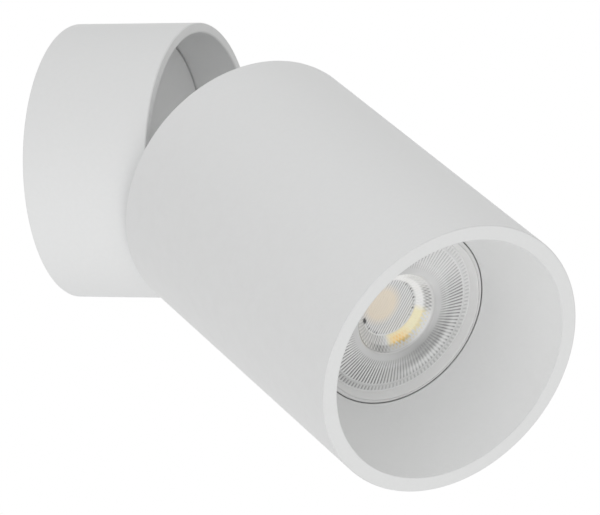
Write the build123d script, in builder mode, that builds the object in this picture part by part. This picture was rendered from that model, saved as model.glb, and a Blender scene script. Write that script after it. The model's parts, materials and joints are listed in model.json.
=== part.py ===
"""Surface mounted ceiling spotlight: a round ceiling base and a tilting tube for a twist-lock lamp.

Row frame: origin at the centre of the ceiling plate's upper face, +Z up, the head tilts towards -Y.
The head's own frame starts at the tilt axis and runs forwards along the head, as `head` below.
All lengths are in millimetres and all angles in degrees.
"""

import os
from math import acos, asin, atan2, cos, degrees, hypot, pi, radians, sin

from build123d import *

os.makedirs("parts", exist_ok=True)

# ---- Driving dimensions ------------------------------------------------------------------------

# Round shells of the base and the head
body_radius = 37.5
shell_wall = 2.6
edge_round = 0.4
cup_depth = 14.1

# Swivel and tilt
tilt_travel = 42.0
tilt_in_hand = 1.0
pivot_below_rim = 3.9
pivot_to_head = 17.9

# Ceiling plate and its fittings
plate_sheet = 1.5
plate_flange = 4.0
slot_length = 9.0
slot_width = 4.5
slot_to_flange = 1.3
cable_hole_radius = 6.0
cable_hole_to_flange = 13.8
grommet_wall = 2.0
grommet_lip = 1.2
block_to_flange = 12.8
block_width = 13.0
block_height = 11.0
block_end = 0.5
block_notch = 1.2
block_to_disc = 6.4
pole_pitch = 8.5
pole_wall = 0.6
clamp_screw_radius = 1.5
clamp_screw_offset = 3.2
earth_to_flange = 9.6

# Carrier disc, its two screws and the pillars they reach
disc_thickness = 3.0
ledge_width = 1.9
ledge_height = 3.0
pillar_to_flange = 4.8
pillar_to_block = 1.7
pillar_width = 6.0
m4_radius = 2.0
m4_head_radius = 3.75
m4_head_height = 2.4
m4_slot = 1.0
m4_sink = 1.9
m4_recess = 5.0
m3_radius = 1.5
m3_head_radius = 2.75
m3_head_height = 1.8
m3_slot = 0.75

# Leads
lead_radius = 0.95
lead_gap = 0.7

# Hollow knuckle joint
bush_wall = 0.45
spigot_wall = 2.0
spigot_rise = 8.0
spigot_flat = 0.4
thread_end = 0.4
collar_step = 1.0
collar_height = 2.5
shank_step = 0.5
cheek_radius = 8.0
cheek_thickness = 5.75
cheek_wall = 1.5
boss_wall = 1.0
friction_ring = 0.5
lug_width = 2.6
lug_height = 2.2
lug_slack = 1.0
thrust_washer = 0.5
glide_washer = 0.8
stop_washer = 1.0
wave_washer = 1.0
washer_width = 4.0
wave_washer_width = 3.0
stop_radius = 17.0
stop_tab_width = 2.4
stop_stud_radius = 1.0
locknut_wall = 2.0
locknut_height = 4.0
m4_nut_width = 7.0
m4_nut_height = 3.2

# Rear cap and what it carries
cap_to_base_rim = 2.0
cap_thickness = 2.0
cap_seat_step = 0.6
circlip_thickness = 1.2
circlip_depth = 1.1
circlip_width = 3.0
circlip_eye_angle = 10.0
cap_nut_height = 2.5
bridge_clear = 3.3
bridge_sheet = 1.2
bridge_width = 14.0
bridge_to_holder = 5.2
bridge_foot = 7.0

# Lampholder
holder_radius = 13.0
holder_flat = 10.5
holder_depth = 14.0
holder_screw_inset = 3.5
pin_pitch_radius = 5.0
pin_radius = 1.4
pin_head_radius = 2.4
pin_neck = 3.5
pin_head = 3.2
lock_start = 90.0
lock_angle = 40.0
lock_plate = 3.0
contact_sheet = 0.6

# Lamp, measured along its axis from its front shoulder
lamp_radius = 25.0
lamp_bevel = 1.0
lamp_bevel_drop = 0.5
lamp_setback = 24.7
lamp_length = 46.5
lamp_rim = 9.0
lamp_lip = 1.5
lamp_lip_flare = 1.2
flank_pull = 10.4
waist_step = 4.0
waist_setback = 2.0
neck_radius = 12.0
neck_length = 7.3
neck_plug = 4.0
neck_wall = 2.5
driver_sheet = 1.2
driver_half_width = 8.0
driver_parts = 3.6
lens_seat = 4.6
lens_seat_width = 1.5
lens_rim_drop = 2.1
lens_border = 0.6
fan_inner_radius = 13.0
fan_rise = 1.0
hub_radius = 11.6
hub_drop = 1.2
eye_radius = 7.7
eye_drop = 5.5
collector_wall = 2.0
collector_rise = 1.0
led_board_radius = 17.0
led_board_sheet = 1.6
led_setback = 21.6
led_radius = 4.5
led_height = 1.5

# Baffle
lip_width = 4.0
lip_thickness = 2.0
baffle_wall = 1.2
baffle_past_lamp = 2.3
baffle_collar = 3.0
baffle_flange_depth = 12.0
snap_ring = 1.2

# Clearances
sliding = 0.3
running = 0.05
drop_in = 0.1
plate_in_ledge = 0.7
lead_in_pole = 0.45

# ---- Sizes, heights and planes that follow from them ----------------------------------------------

bore_radius = body_radius - shell_wall
disc_radius = bore_radius - sliding
cap_seat_radius = bore_radius - cap_seat_step
plate_radius = bore_radius - ledge_width - plate_in_ledge
plate_flat_radius = plate_radius - plate_sheet
slot_offset = plate_flat_radius - slot_to_flange - slot_length / 2
pillar_circle = plate_flat_radius - pillar_to_flange
block_offset = plate_flat_radius - block_to_flange
block_length = 3 * pole_pitch + 2 * block_end
cable_hole_offset = plate_flat_radius - cable_hole_to_flange
earth_offset = (plate_flat_radius - earth_to_flange) * sin(radians(45))
pillar_corner = pillar_width / 2 / cos(radians(30))
pillar_across = block_length / 2 + pillar_to_block + pillar_corner
pillar_angle = degrees(acos(pillar_across / pillar_circle))
m4_sink_radius = m4_radius + m4_sink

lead_offset = lead_radius + lead_gap / 2
lead_way = lead_offset + lead_radius + sliding
spigot_bore = lead_way + bush_wall
spigot_radius = spigot_bore + spigot_wall
collar_radius = spigot_radius + collar_step
shank_radius = spigot_radius + shank_step
chamber_radius = cheek_radius - cheek_wall
boss_radius = m4_radius + boss_wall
turning_radius = cheek_radius + friction_ring
locknut_width = 2 * (spigot_radius + locknut_wall)
pole_bore = lead_radius + lead_in_pole
pole_radius = pole_bore + pole_wall

plate_under_z = -plate_sheet
block_face_z = plate_under_z - block_height
pole_z = plate_under_z - block_height / 2
disc_top_z = block_face_z - block_to_disc
disc_face_z = disc_top_z - disc_thickness
rim_z = disc_face_z - cup_depth
pivot_z = rim_z - pivot_below_rim
collar_top_z = disc_face_z - thrust_washer
spigot_top_z = disc_top_z + spigot_rise

tilt_at_rest = tilt_travel - tilt_in_hand
pivot = Vector(0, 0, pivot_z)
across = Vector(1, 0, 0)
forwards = Vector(0, -sin(radians(tilt_at_rest)), -cos(radians(tilt_at_rest)))
head = Plane(origin=pivot, x_dir=across, z_dir=forwards)
head_axis = Axis(pivot, forwards)
head_section = Plane(origin=pivot, x_dir=across, z_dir=across.cross(forwards))
head_side = Plane(origin=pivot, x_dir=forwards, z_dir=across)
base_side = Plane(origin=pivot, x_dir=(0, 1, 0), z_dir=across)

# Distances forwards along the head's axis, from the tilt axis to the front rim
rim_reach = body_radius * sin(radians(tilt_travel)) - pivot_below_rim * cos(radians(tilt_travel))
circlip_rear = rim_reach + cap_to_base_rim
cap_rear = circlip_rear + circlip_thickness
cap_front = cap_rear + cap_thickness
cap_nut_front = cap_front + cap_nut_height
spigot_end = cap_nut_front + thread_end
bush_front = spigot_end + 2 * bush_wall
bridge_top = bush_front + bridge_clear
holder_rear = bridge_top + bridge_sheet
lamp_foot = holder_rear + holder_depth
lamp_front = lamp_foot + lamp_length
head_front = lamp_front + lamp_setback
lip_rear = head_front - lip_thickness
lip_radius = body_radius - lip_width
baffle_depth = lamp_setback + baffle_past_lamp
baffle_exit = lamp_radius + sliding + running
baffle_end = head_front - baffle_depth
flange_front = head_front - baffle_flange_depth
flange_rear = flange_front - baffle_wall
snap_rear = flange_rear - snap_ring


def cone_radius(depth):
    """Radius of the baffle's inner face at a depth behind the head's front rim."""
    return lip_radius - (lip_radius - baffle_exit) * depth / baffle_depth


def below(height):
    """Plane at a height that faces down, so that holes and heads are drawn as seen from the room."""
    return Plane(origin=(0, 0, height), x_dir=(1, 0, 0), z_dir=(0, 0, -1))


def washer(plane, outer, inner, thickness):
    """Flat ring that starts at a plane and rises along its normal."""
    with BuildPart() as ring:
        with BuildSketch(plane):
            Circle(outer)
            Circle(inner, mode=Mode.SUBTRACT)
        extrude(amount=thickness)
    return ring


def hex_nut(plane, width, bore, height):
    """Hexagon nut with chamfered outer corners, starting at a plane."""
    with BuildPart() as nut:
        with BuildSketch(plane):
            RegularPolygon(width / 2, 6, major_radius=False)
            Circle(bore, mode=Mode.SUBTRACT)
        extrude(amount=height)
        with BuildSketch(plane.offset(height)):
            Circle(width)
            Circle(width / 2, mode=Mode.SUBTRACT)
        extrude(amount=-height / 4, taper=-30, mode=Mode.SUBTRACT)
    return nut


# ---- Base: shell, ceiling plate and wiring -------------------------------------------------------

# Turned aluminium ring: the cup below the ledge is open, the wiring space lies above it.
with BuildPart() as base_shell:
    with BuildSketch(Plane.XZ):
        with BuildLine():
            Polyline(
                (bore_radius, rim_z),
                (body_radius, rim_z),
                (body_radius, 0),
                (bore_radius, 0),
                (bore_radius, disc_top_z + ledge_height),
                (bore_radius - ledge_width, disc_top_z + ledge_height),
                (bore_radius - ledge_width, disc_top_z),
                (bore_radius, disc_top_z),
                close=True,
            )
        make_face()
    revolve(axis=Axis.Z)
    rims = base_shell.edges().filter_by(GeomType.CIRCLE).group_by(Axis.Z)[0]
    fillet(rims, edge_round)
base_shell.part.label = "base_shell"
export_step(base_shell.part, "parts/base_shell.step")

# Pressed steel plate that is screwed to the ceiling first, with a turned-down edge.
with BuildPart() as ceiling_plate:
    with BuildSketch():
        Circle(plate_radius)
    extrude(amount=-plate_flange)
    with BuildSketch(Plane.XY.offset(plate_under_z)):
        Circle(plate_radius - plate_sheet)
    extrude(amount=-plate_flange, mode=Mode.SUBTRACT)
    fillet(ceiling_plate.edges().filter_by(GeomType.CIRCLE).group_by(Axis.Z)[-1], plate_sheet / 2)
    with BuildSketch():
        with Locations((-slot_offset, 0), (slot_offset, 0)):
            SlotOverall(slot_length, slot_width)
        with Locations((0, -cable_hole_offset)):
            Circle(cable_hole_radius)
        with PolarLocations(pillar_circle, 2, start_angle=-pillar_angle):
            Circle(m4_radius + running)
        with Locations((-earth_offset, -earth_offset)):
            Circle(m4_radius + running)
        with Locations((pole_pitch / 2, block_offset)):
            Circle(m3_radius - drop_in)
    extrude(amount=-plate_sheet, mode=Mode.SUBTRACT)
ceiling_plate.part.label = "ceiling_plate"
export_step(ceiling_plate.part, "parts/ceiling_plate.step")

# Two hexagon pillars, riveted to the plate, that take the base's screws.
with BuildPart() as plate_pillars:
    with BuildSketch(below(plate_under_z)):
        with PolarLocations(pillar_circle, 2, start_angle=pillar_angle):
            RegularPolygon(pillar_width / 2, 6, major_radius=False)
            Circle(m4_radius + running, mode=Mode.SUBTRACT)
    extrude(amount=plate_under_z - disc_top_z - sliding)
plate_pillars.part.label = "plate_pillars"
export_step(plate_pillars.part, "parts/plate_pillars.step")

# Rubber grommet where the supply cable comes through the plate.
with BuildPart() as cable_grommet:
    with BuildSketch(Plane.XZ.offset(cable_hole_offset)):
        with BuildLine():
            Polyline(
                (cable_hole_radius - grommet_wall, 0),
                (cable_hole_radius, 0),
                (cable_hole_radius, plate_under_z),
                (cable_hole_radius + grommet_lip, plate_under_z),
                (cable_hole_radius + grommet_lip, plate_under_z - grommet_lip),
                (cable_hole_radius - grommet_wall, plate_under_z - 2 * grommet_lip),
                close=True,
            )
        make_face()
    revolve(axis=Axis((0, -cable_hole_offset, 0), (0, 0, 1)))
cable_grommet.part.label = "cable_grommet"
export_step(cable_grommet.part, "parts/cable_grommet.step")

block_plane = Plane.XZ.offset(-block_offset)

# Three-pole terminal block: a moulded strip with saw notches between its poles.
with BuildPart() as terminal_block:
    with BuildSketch(block_plane):
        with Locations((0, pole_z)):
            Rectangle(block_length, block_height)
        with Locations((-pole_pitch / 2, block_face_z), (pole_pitch / 2, block_face_z)):
            Rectangle(block_notch, block_height / 3, mode=Mode.SUBTRACT)
        with Locations((-pole_pitch, pole_z), (0, pole_z), (pole_pitch, pole_z)):
            Circle(pole_radius + running, mode=Mode.SUBTRACT)
    extrude(amount=block_width / 2, both=True)
    with BuildSketch(below(block_face_z)):
        with Locations((0, -block_offset)):
            with GridLocations(pole_pitch, 2 * clamp_screw_offset, 3, 2):
                Circle(clamp_screw_radius + drop_in)
    extrude(amount=-block_height / 2, mode=Mode.SUBTRACT)
    with BuildSketch(below(block_face_z)):
        with Locations((pole_pitch / 2, -block_offset)):
            Circle(m3_radius)
    extrude(amount=-block_height, mode=Mode.SUBTRACT)
terminal_block.part.label = "terminal_block"
export_step(terminal_block.part, "parts/terminal_block.step")

# Brass sleeves that join each pair of wires.
with BuildPart() as terminal_sleeves:
    with BuildSketch(block_plane):
        with Locations((-pole_pitch, pole_z), (0, pole_z), (pole_pitch, pole_z)):
            Circle(pole_radius)
            Circle(pole_bore, mode=Mode.SUBTRACT)
    extrude(amount=block_width / 2 - drop_in, both=True)
    with BuildSketch(below(pole_z)):
        with Locations((0, -block_offset)):
            with GridLocations(pole_pitch, 2 * clamp_screw_offset, 3, 2):
                Circle(clamp_screw_radius)
    extrude(amount=pole_radius, mode=Mode.SUBTRACT)
terminal_sleeves.part.label = "terminal_sleeves"
export_step(terminal_sleeves.part, "parts/terminal_sleeves.step")

# Slotted clamping screws of the terminal block.
with BuildPart() as terminal_screws:
    with BuildSketch(below(pole_z - pole_bore)):
        with Locations((0, -block_offset)):
            with GridLocations(pole_pitch, 2 * clamp_screw_offset, 3, 2):
                Circle(clamp_screw_radius - running)
    extrude(amount=block_height / 3)
    with BuildSketch(below(pole_z - pole_bore - block_height / 3)):
        with Locations((0, -block_offset)):
            with GridLocations(pole_pitch, 2 * clamp_screw_offset, 3, 2):
                Rectangle(2 * clamp_screw_radius, clamp_screw_radius / 2)
    extrude(amount=-clamp_screw_radius / 2, mode=Mode.SUBTRACT)
terminal_screws.part.label = "terminal_screws"
export_step(terminal_screws.part, "parts/terminal_screws.step")

# Screw that holds the terminal block against the plate.
with BuildPart() as block_screw:
    with BuildSketch(Plane.XY):
        with Locations((pole_pitch / 2, block_offset)):
            Circle(m3_radius - drop_in - running)
    extrude(amount=block_face_z)
    with BuildSketch(below(block_face_z)):
        with Locations((pole_pitch / 2, -block_offset)):
            Circle(m3_radius + 2 * drop_in)
    extrude(amount=m3_head_height)
    with BuildSketch(below(block_face_z - m3_head_height)):
        with Locations((pole_pitch / 2, -block_offset)):
            Rectangle(2 * m3_head_radius, m3_slot)
    extrude(amount=-m3_slot, mode=Mode.SUBTRACT)
block_screw.part.label = "block_screw"
export_step(block_screw.part, "parts/block_screw.step")

# Earth screw with its cupped washer.
with BuildPart() as earth_screw:
    with BuildSketch(below(0)):
        with Locations((-earth_offset, earth_offset)):
            Circle(m4_radius)
    extrude(amount=plate_sheet + m4_slot)
    with BuildSketch(below(plate_under_z)):
        with Locations((-earth_offset, earth_offset)):
            Circle(m4_head_radius + 2 * drop_in)
    extrude(amount=m4_slot)
    with BuildSketch(below(plate_under_z - m4_slot)):
        with Locations((-earth_offset, earth_offset)):
            Circle(m4_head_radius - 2 * drop_in)
    extrude(amount=m4_head_height)
    with BuildSketch(below(plate_under_z - m4_slot - m4_head_height)):
        with Locations((-earth_offset, earth_offset)):
            Rectangle(2 * m4_head_radius, m4_slot)
            Rectangle(m4_slot, 2 * m4_head_radius)
    extrude(amount=-m4_slot, mode=Mode.SUBTRACT)
earth_screw.part.label = "earth_screw"
export_step(earth_screw.part, "parts/earth_screw.step")

# Steel disc that closes the cup, pulls the shell to the ceiling and carries the head.
with BuildPart() as carrier_disc:
    with BuildSketch(Plane.XY.offset(disc_face_z)):
        Circle(disc_radius)
        Circle(spigot_radius + running, mode=Mode.SUBTRACT)
        with Locations((0, stop_radius)):
            Circle(stop_stud_radius, mode=Mode.SUBTRACT)
    extrude(amount=disc_thickness)
    outer_edges = carrier_disc.edges().filter_by(GeomType.CIRCLE).sort_by(SortBy.RADIUS)[-2:]
    chamfer(outer_edges, edge_round)
    with Locations(below(disc_face_z)):
        with PolarLocations(pillar_circle, 2, start_angle=pillar_angle):
            CounterSinkHole(
                m4_radius + drop_in, m4_sink_radius + drop_in, disc_thickness, 90
            )
carrier_disc.part.label = "carrier_disc"
export_step(carrier_disc.part, "parts/carrier_disc.step")

# Two countersunk screws, up through the disc and into the pillars.
screw_reach = disc_thickness + sliding + 4 * m4_radius
with BuildPart() as base_screws:
    with BuildSketch(below(disc_face_z)):
        with PolarLocations(pillar_circle, 2, start_angle=pillar_angle):
            Circle(m4_radius)
    extrude(amount=-screw_reach)
    with BuildSketch(below(disc_face_z)):
        with PolarLocations(pillar_circle, 2, start_angle=pillar_angle):
            Circle(m4_sink_radius)
    extrude(amount=-m4_sink, taper=45)
    with BuildSketch(below(disc_face_z)):
        with PolarLocations(pillar_circle, 2, start_angle=pillar_angle):
            Rectangle(m4_recess, m4_slot)
            Rectangle(m4_slot, m4_recess)
    extrude(amount=-m4_slot, mode=Mode.SUBTRACT)
base_screws.part.label = "base_screws"
export_step(base_screws.part, "parts/base_screws.step")

# Stud pressed into the disc, which ends the swivel's turn.
with BuildPart() as pan_stop_stud:
    with BuildSketch(Plane.XY.offset(disc_face_z + edge_round)):
        with Locations((0, stop_radius)):
            Circle(stop_stud_radius)
    extrude(amount=disc_thickness - edge_round + glide_washer + 1.5 * stop_washer)
pan_stop_stud.part.label = "pan_stop_stud"
export_step(pan_stop_stud.part, "parts/pan_stop_stud.step")

# Two insulated leads from the terminal block down into the hollow spigot.
with BuildPart() as supply_leads:
    for side in (-1, 1):
        with BuildLine() as route:
            FilletPolyline(
                (side * pole_pitch, block_offset - block_width / 2 + 2 * drop_in, pole_z),
                (side * pole_pitch, block_offset - block_width, pole_z),
                (side * lead_offset, 0, pole_z),
                (side * lead_offset, 0, spigot_top_z - spigot_bore),
                radius=2 * lead_radius,
            )
        with BuildSketch(Plane(origin=route.line @ 0, z_dir=route.line % 0)):
            Circle(lead_radius)
        sweep()
supply_leads.part.label = "supply_leads"
export_step(supply_leads.part, "parts/supply_leads.step")

# ---- Swivel: the half of the knuckle that turns in the disc --------------------------------------

cheek_face = friction_ring / 2
cheek_back = cheek_face + cheek_thickness
chamber_depth = cheek_thickness - cheek_wall
chamber_entry = chamber_radius - drop_in - spigot_wall / 2
stop_washer_z = disc_top_z + glide_washer
wave_washer_z = stop_washer_z + stop_washer
locknut_z = wave_washer_z + wave_washer

# Cast upper half: hollow spigot, collar, shank and a cheek with a ring-shaped wire chamber.
with BuildPart() as pan_knuckle:
    with BuildSketch(Plane.XZ):
        with BuildLine():
            Polyline(
                (0, pivot_z),
                (shank_radius, pivot_z),
                (shank_radius, collar_top_z - collar_height),
                (collar_radius, collar_top_z - collar_height),
                (collar_radius, collar_top_z),
                (spigot_radius, collar_top_z),
                (spigot_radius, spigot_top_z),
                (0, spigot_top_z),
                close=True,
            )
        make_face()
    revolve(axis=Axis.Z)
    with BuildSketch(base_side.offset(cheek_face)):
        Circle(turning_radius)
    extrude(amount=-2 * cheek_radius, mode=Mode.SUBTRACT)
    with BuildSketch(base_side.offset(cheek_face)):
        Circle(cheek_radius)
    extrude(amount=cheek_thickness)
    cheek_rim = pan_knuckle.edges().filter_by(GeomType.CIRCLE).group_by(Axis.X)[-1]
    fillet(cheek_rim, 2 * edge_round)
    with BuildSketch(base_side.offset(cheek_face)):
        Circle(chamber_radius)
        Circle(boss_radius, mode=Mode.SUBTRACT)
    extrude(amount=chamber_depth, mode=Mode.SUBTRACT)
    with BuildSketch(Plane.XY.offset(spigot_top_z)):
        Circle(spigot_bore)
    extrude(amount=pivot_z + chamber_entry - spigot_top_z, mode=Mode.SUBTRACT)
    with BuildSketch(base_side):
        Circle(m4_radius + running)
    extrude(amount=cheek_back, mode=Mode.SUBTRACT)
    with BuildSketch(Plane.XY.offset(stop_washer_z)):
        with Locations((0, spigot_radius), (0, -spigot_radius)):
            Rectangle(2 * spigot_radius, 2 * spigot_flat)
    extrude(amount=spigot_rise, mode=Mode.SUBTRACT)
pan_knuckle.part.label = "pan_knuckle"
export_step(pan_knuckle.part, "parts/pan_knuckle.step")

# Nylon ring between the collar and the disc.
pan_thrust_washer = washer(
    Plane.XY.offset(collar_top_z), collar_radius, spigot_radius + running, thrust_washer
)
pan_thrust_washer.part.label = "pan_thrust_washer"
export_step(pan_thrust_washer.part, "parts/pan_thrust_washer.step")

# Nylon ring on the disc's upper face.
pan_glide_washer = washer(
    Plane.XY.offset(disc_top_z),
    spigot_radius + washer_width,
    spigot_radius + running,
    glide_washer,
)
pan_glide_washer.part.label = "pan_glide_washer"
export_step(pan_glide_washer.part, "parts/pan_glide_washer.step")

# Steel washer keyed to the spigot's flats; its tab meets the stud at each end of the turn.
with BuildPart() as pan_stop_washer:
    with BuildSketch(Plane.XY.offset(stop_washer_z)):
        Circle(spigot_radius + washer_width)
        with Locations((0, -stop_radius / 2 - stop_stud_radius)):
            Rectangle(stop_tab_width, stop_radius)
        Circle(spigot_radius + running, mode=Mode.SUBTRACT)
    extrude(amount=stop_washer)
    with BuildSketch(Plane.XY.offset(stop_washer_z)):
        with Locations((0, spigot_radius), (0, -spigot_radius)):
            Rectangle(spigot_radius, 2 * (spigot_flat - running))
    extrude(amount=stop_washer)
pan_stop_washer.part.label = "pan_stop_washer"
export_step(pan_stop_washer.part, "parts/pan_stop_washer.step")

# Spring washer that keeps the swivel's grip constant.
pan_wave_washer = washer(
    Plane.XY.offset(wave_washer_z),
    spigot_radius + wave_washer_width,
    spigot_radius + running,
    wave_washer,
)
pan_wave_washer.part.label = "pan_wave_washer"
export_step(pan_wave_washer.part, "parts/pan_wave_washer.step")

# Thin nut that holds the knuckle up in the disc.
pan_locknut = hex_nut(
    Plane.XY.offset(locknut_z), locknut_width, spigot_radius + running, locknut_height
)
pan_locknut.part.label = "pan_locknut"
export_step(pan_locknut.part, "parts/pan_locknut.step")

# Fibre ring that the two cheeks squeeze.
tilt_friction_ring = washer(
    base_side.offset(-cheek_face), cheek_radius, chamber_radius + drop_in, friction_ring
)
tilt_friction_ring.part.label = "tilt_friction_ring"
export_step(tilt_friction_ring.part, "parts/tilt_friction_ring.step")

# Cross screw of the knuckle, with a domed slotted head.
screw_end = cheek_back + wave_washer + m4_nut_height + thread_end
with BuildPart() as tilt_screw:
    with BuildSketch(base_side.offset(-screw_end)):
        Circle(m4_radius)
    extrude(amount=screw_end + cheek_back)
    with BuildSketch(base_side.offset(cheek_back)):
        Circle(m4_head_radius)
    extrude(amount=m4_head_height)
    fillet(tilt_screw.edges().filter_by(GeomType.CIRCLE).group_by(Axis.X)[-1], m4_slot)
    with BuildSketch(base_side.offset(cheek_back + m4_head_height)):
        Rectangle(m4_slot, 2 * m4_head_radius)
    extrude(amount=-m4_slot, mode=Mode.SUBTRACT)
tilt_screw.part.label = "tilt_screw"
export_step(tilt_screw.part, "parts/tilt_screw.step")

# Spring washer under the cross screw's nut.
tilt_spring_washer = washer(
    base_side.offset(-cheek_back - wave_washer),
    m4_head_radius + edge_round,
    m4_radius + running,
    wave_washer,
)
tilt_spring_washer.part.label = "tilt_spring_washer"
export_step(tilt_spring_washer.part, "parts/tilt_spring_washer.step")

# Nut that sets how firmly the head stays at its angle.
nut_side = Plane(
    origin=pivot - across * (cheek_back + wave_washer), x_dir=(0, 1, 0), z_dir=-across
)
tilt_nut = hex_nut(nut_side, m4_nut_width, m4_radius + running, m4_nut_height)
tilt_nut.part.label = "tilt_nut"
export_step(tilt_nut.part, "parts/tilt_nut.step")

# ---- Head: knuckle half, rear cap and shell ------------------------------------------------------

# Bearing from the shank's middle at which a lug's flank meets it, and a little more.
lug_meets = asin(shank_radius / hypot(turning_radius, lug_width / 2))
lug_offset = degrees(lug_meets + atan2(lug_width / 2, turning_radius)) + lug_slack

# Bearings of the lugs on either side of the upper shank, which is opposite this half's own.
shank_bearing = degrees(pi)
lug_bearings = (shank_bearing - lug_offset, shank_bearing + tilt_travel + lug_offset)

# Cast lower half of the knuckle, mirrored in the tilt axis, with two lugs that stop on the shank.
with BuildPart() as tilt_knuckle:
    with BuildSketch(head_section):
        with BuildLine():
            Polyline(
                (0, 0),
                (shank_radius, 0),
                (shank_radius, cap_rear - 2 * collar_height),
                (cheek_radius, cap_rear - collar_height),
                (cheek_radius, cap_rear),
                (spigot_radius, cap_rear),
                (spigot_radius, spigot_end),
                (0, spigot_end),
                close=True,
            )
        make_face()
    revolve(axis=head_axis)
    with BuildSketch(head_side.offset(-cheek_face)):
        Circle(turning_radius)
    extrude(amount=2 * cheek_radius, mode=Mode.SUBTRACT)
    with BuildSketch(head_side.offset(-cheek_face)):
        Circle(cheek_radius)
    extrude(amount=-cheek_thickness)
    cheek_rim = tilt_knuckle.edges().filter_by(GeomType.CIRCLE).group_by(Axis.X)[0]
    fillet(cheek_rim, 2 * edge_round)
    with BuildSketch(head_side.offset(-cheek_face)):
        for bearing in lug_bearings:
            with PolarLocations(cheek_radius, 1, start_angle=bearing):
                Rectangle(2 * lug_height, lug_width)
        Circle(cheek_radius - edge_round, mode=Mode.SUBTRACT)
    extrude(amount=edge_round - cheek_thickness)
    with BuildSketch(head_side.offset(-cheek_face)):
        Circle(chamber_radius)
        Circle(boss_radius, mode=Mode.SUBTRACT)
    extrude(amount=-chamber_depth, mode=Mode.SUBTRACT)
    with BuildSketch(head.offset(spigot_end)):
        Circle(spigot_bore)
    extrude(amount=chamber_entry - spigot_end, mode=Mode.SUBTRACT)
    with BuildSketch(head_side):
        Circle(m4_radius + running)
    extrude(amount=-cheek_back, mode=Mode.SUBTRACT)
tilt_knuckle.part.label = "tilt_knuckle"
export_step(tilt_knuckle.part, "parts/tilt_knuckle.step")

bridge_half_span = holder_radius + bridge_to_holder
holder_screw_offset = holder_radius - holder_screw_inset
bridge_screw_offset = bridge_half_span + bridge_foot / 2 - bridge_sheet / 2

# Aluminium disc, recessed in the shell's rear, that carries the knuckle and the lampholder.
with BuildPart() as rear_cap:
    with BuildSketch(head.offset(cap_rear)):
        Circle(disc_radius)
        Circle(spigot_radius + running, mode=Mode.SUBTRACT)
        with Locations((-bridge_screw_offset, 0), (bridge_screw_offset, 0)):
            Circle(m3_radius, mode=Mode.SUBTRACT)
    extrude(amount=cap_thickness)
    outer_edges = rear_cap.edges().filter_by(GeomType.CIRCLE).sort_by(SortBy.RADIUS)[-2:]
    chamfer(outer_edges, edge_round)
rear_cap.part.label = "rear_cap"
export_step(rear_cap.part, "parts/rear_cap.step")

# Turned aluminium tube: open skirt behind, seat and grooves inside, a lip with a flared edge in front.
with BuildPart() as head_shell:
    with BuildSketch(head_section):
        with BuildLine():
            Polyline(
                (bore_radius, pivot_to_head),
                (body_radius, pivot_to_head),
                (body_radius, head_front),
                (lip_radius, head_front),
                (cone_radius(lip_thickness), lip_rear),
                (cap_seat_radius, lip_rear),
                (cap_seat_radius, flange_rear),
                (cap_seat_radius + circlip_depth, flange_rear),
                (cap_seat_radius + circlip_depth, snap_rear),
                (cap_seat_radius, snap_rear),
                (cap_seat_radius, cap_front),
                (bore_radius, cap_front),
                (bore_radius, cap_rear),
                (bore_radius + circlip_depth, cap_rear),
                (bore_radius + circlip_depth, circlip_rear),
                (bore_radius, circlip_rear),
                close=True,
            )
        make_face()
    revolve(axis=head_axis)
    circles = head_shell.edges().filter_by(GeomType.CIRCLE)
    rear_rims = circles.sort_by(head_axis)[:2]
    front_rims = circles.sort_by(head_axis)[-2:]
    fillet(rear_rims + front_rims, edge_round)
head_shell.part.label = "head_shell"
export_step(head_shell.part, "parts/head_shell.step")

# Spring ring in the shell's rear groove, with two eyes for the pliers.
circlip_outer = bore_radius + circlip_depth - drop_in
with BuildPart() as rear_circlip:
    with BuildSketch(head.offset(circlip_rear)):
        Circle(circlip_outer)
        Circle(circlip_outer - circlip_width, mode=Mode.SUBTRACT)
        for eye_side in (-circlip_eye_angle, circlip_eye_angle):
            with PolarLocations(circlip_outer - circlip_width, 1, start_angle=eye_side - 90):
                Circle(circlip_width)
        with Locations((0, -circlip_outer)):
            Rectangle(2 * circlip_width, 4 * circlip_width, mode=Mode.SUBTRACT)
        Circle(circlip_outer)
        Circle(circlip_outer - circlip_width, mode=Mode.SUBTRACT)
    extrude(amount=circlip_thickness)
rear_circlip.part.label = "rear_circlip"
export_step(rear_circlip.part, "parts/rear_circlip.step")

# Thin nut that clamps the knuckle half to the rear cap.
knuckle_locknut = hex_nut(
    head.offset(cap_front), locknut_width, spigot_radius + running, cap_nut_height
)
knuckle_locknut.part.label = "knuckle_locknut"
export_step(knuckle_locknut.part, "parts/knuckle_locknut.step")

# Flanged plastic bush that keeps the leads off the spigot's metal edge.
with BuildPart() as lead_bush:
    with BuildSketch(head.offset(cap_rear)):
        Circle(spigot_bore - running)
    extrude(amount=spigot_end - cap_rear)
    with BuildSketch(head.offset(spigot_end)):
        Circle(spigot_radius - bush_wall)
    extrude(amount=2 * bush_wall)
    with BuildSketch(head.offset(cap_rear)):
        Circle(spigot_bore - running - bush_wall)
    extrude(amount=spigot_end - cap_rear + 2 * bush_wall, mode=Mode.SUBTRACT)
lead_bush.part.label = "lead_bush"
export_step(lead_bush.part, "parts/lead_bush.step")

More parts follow.
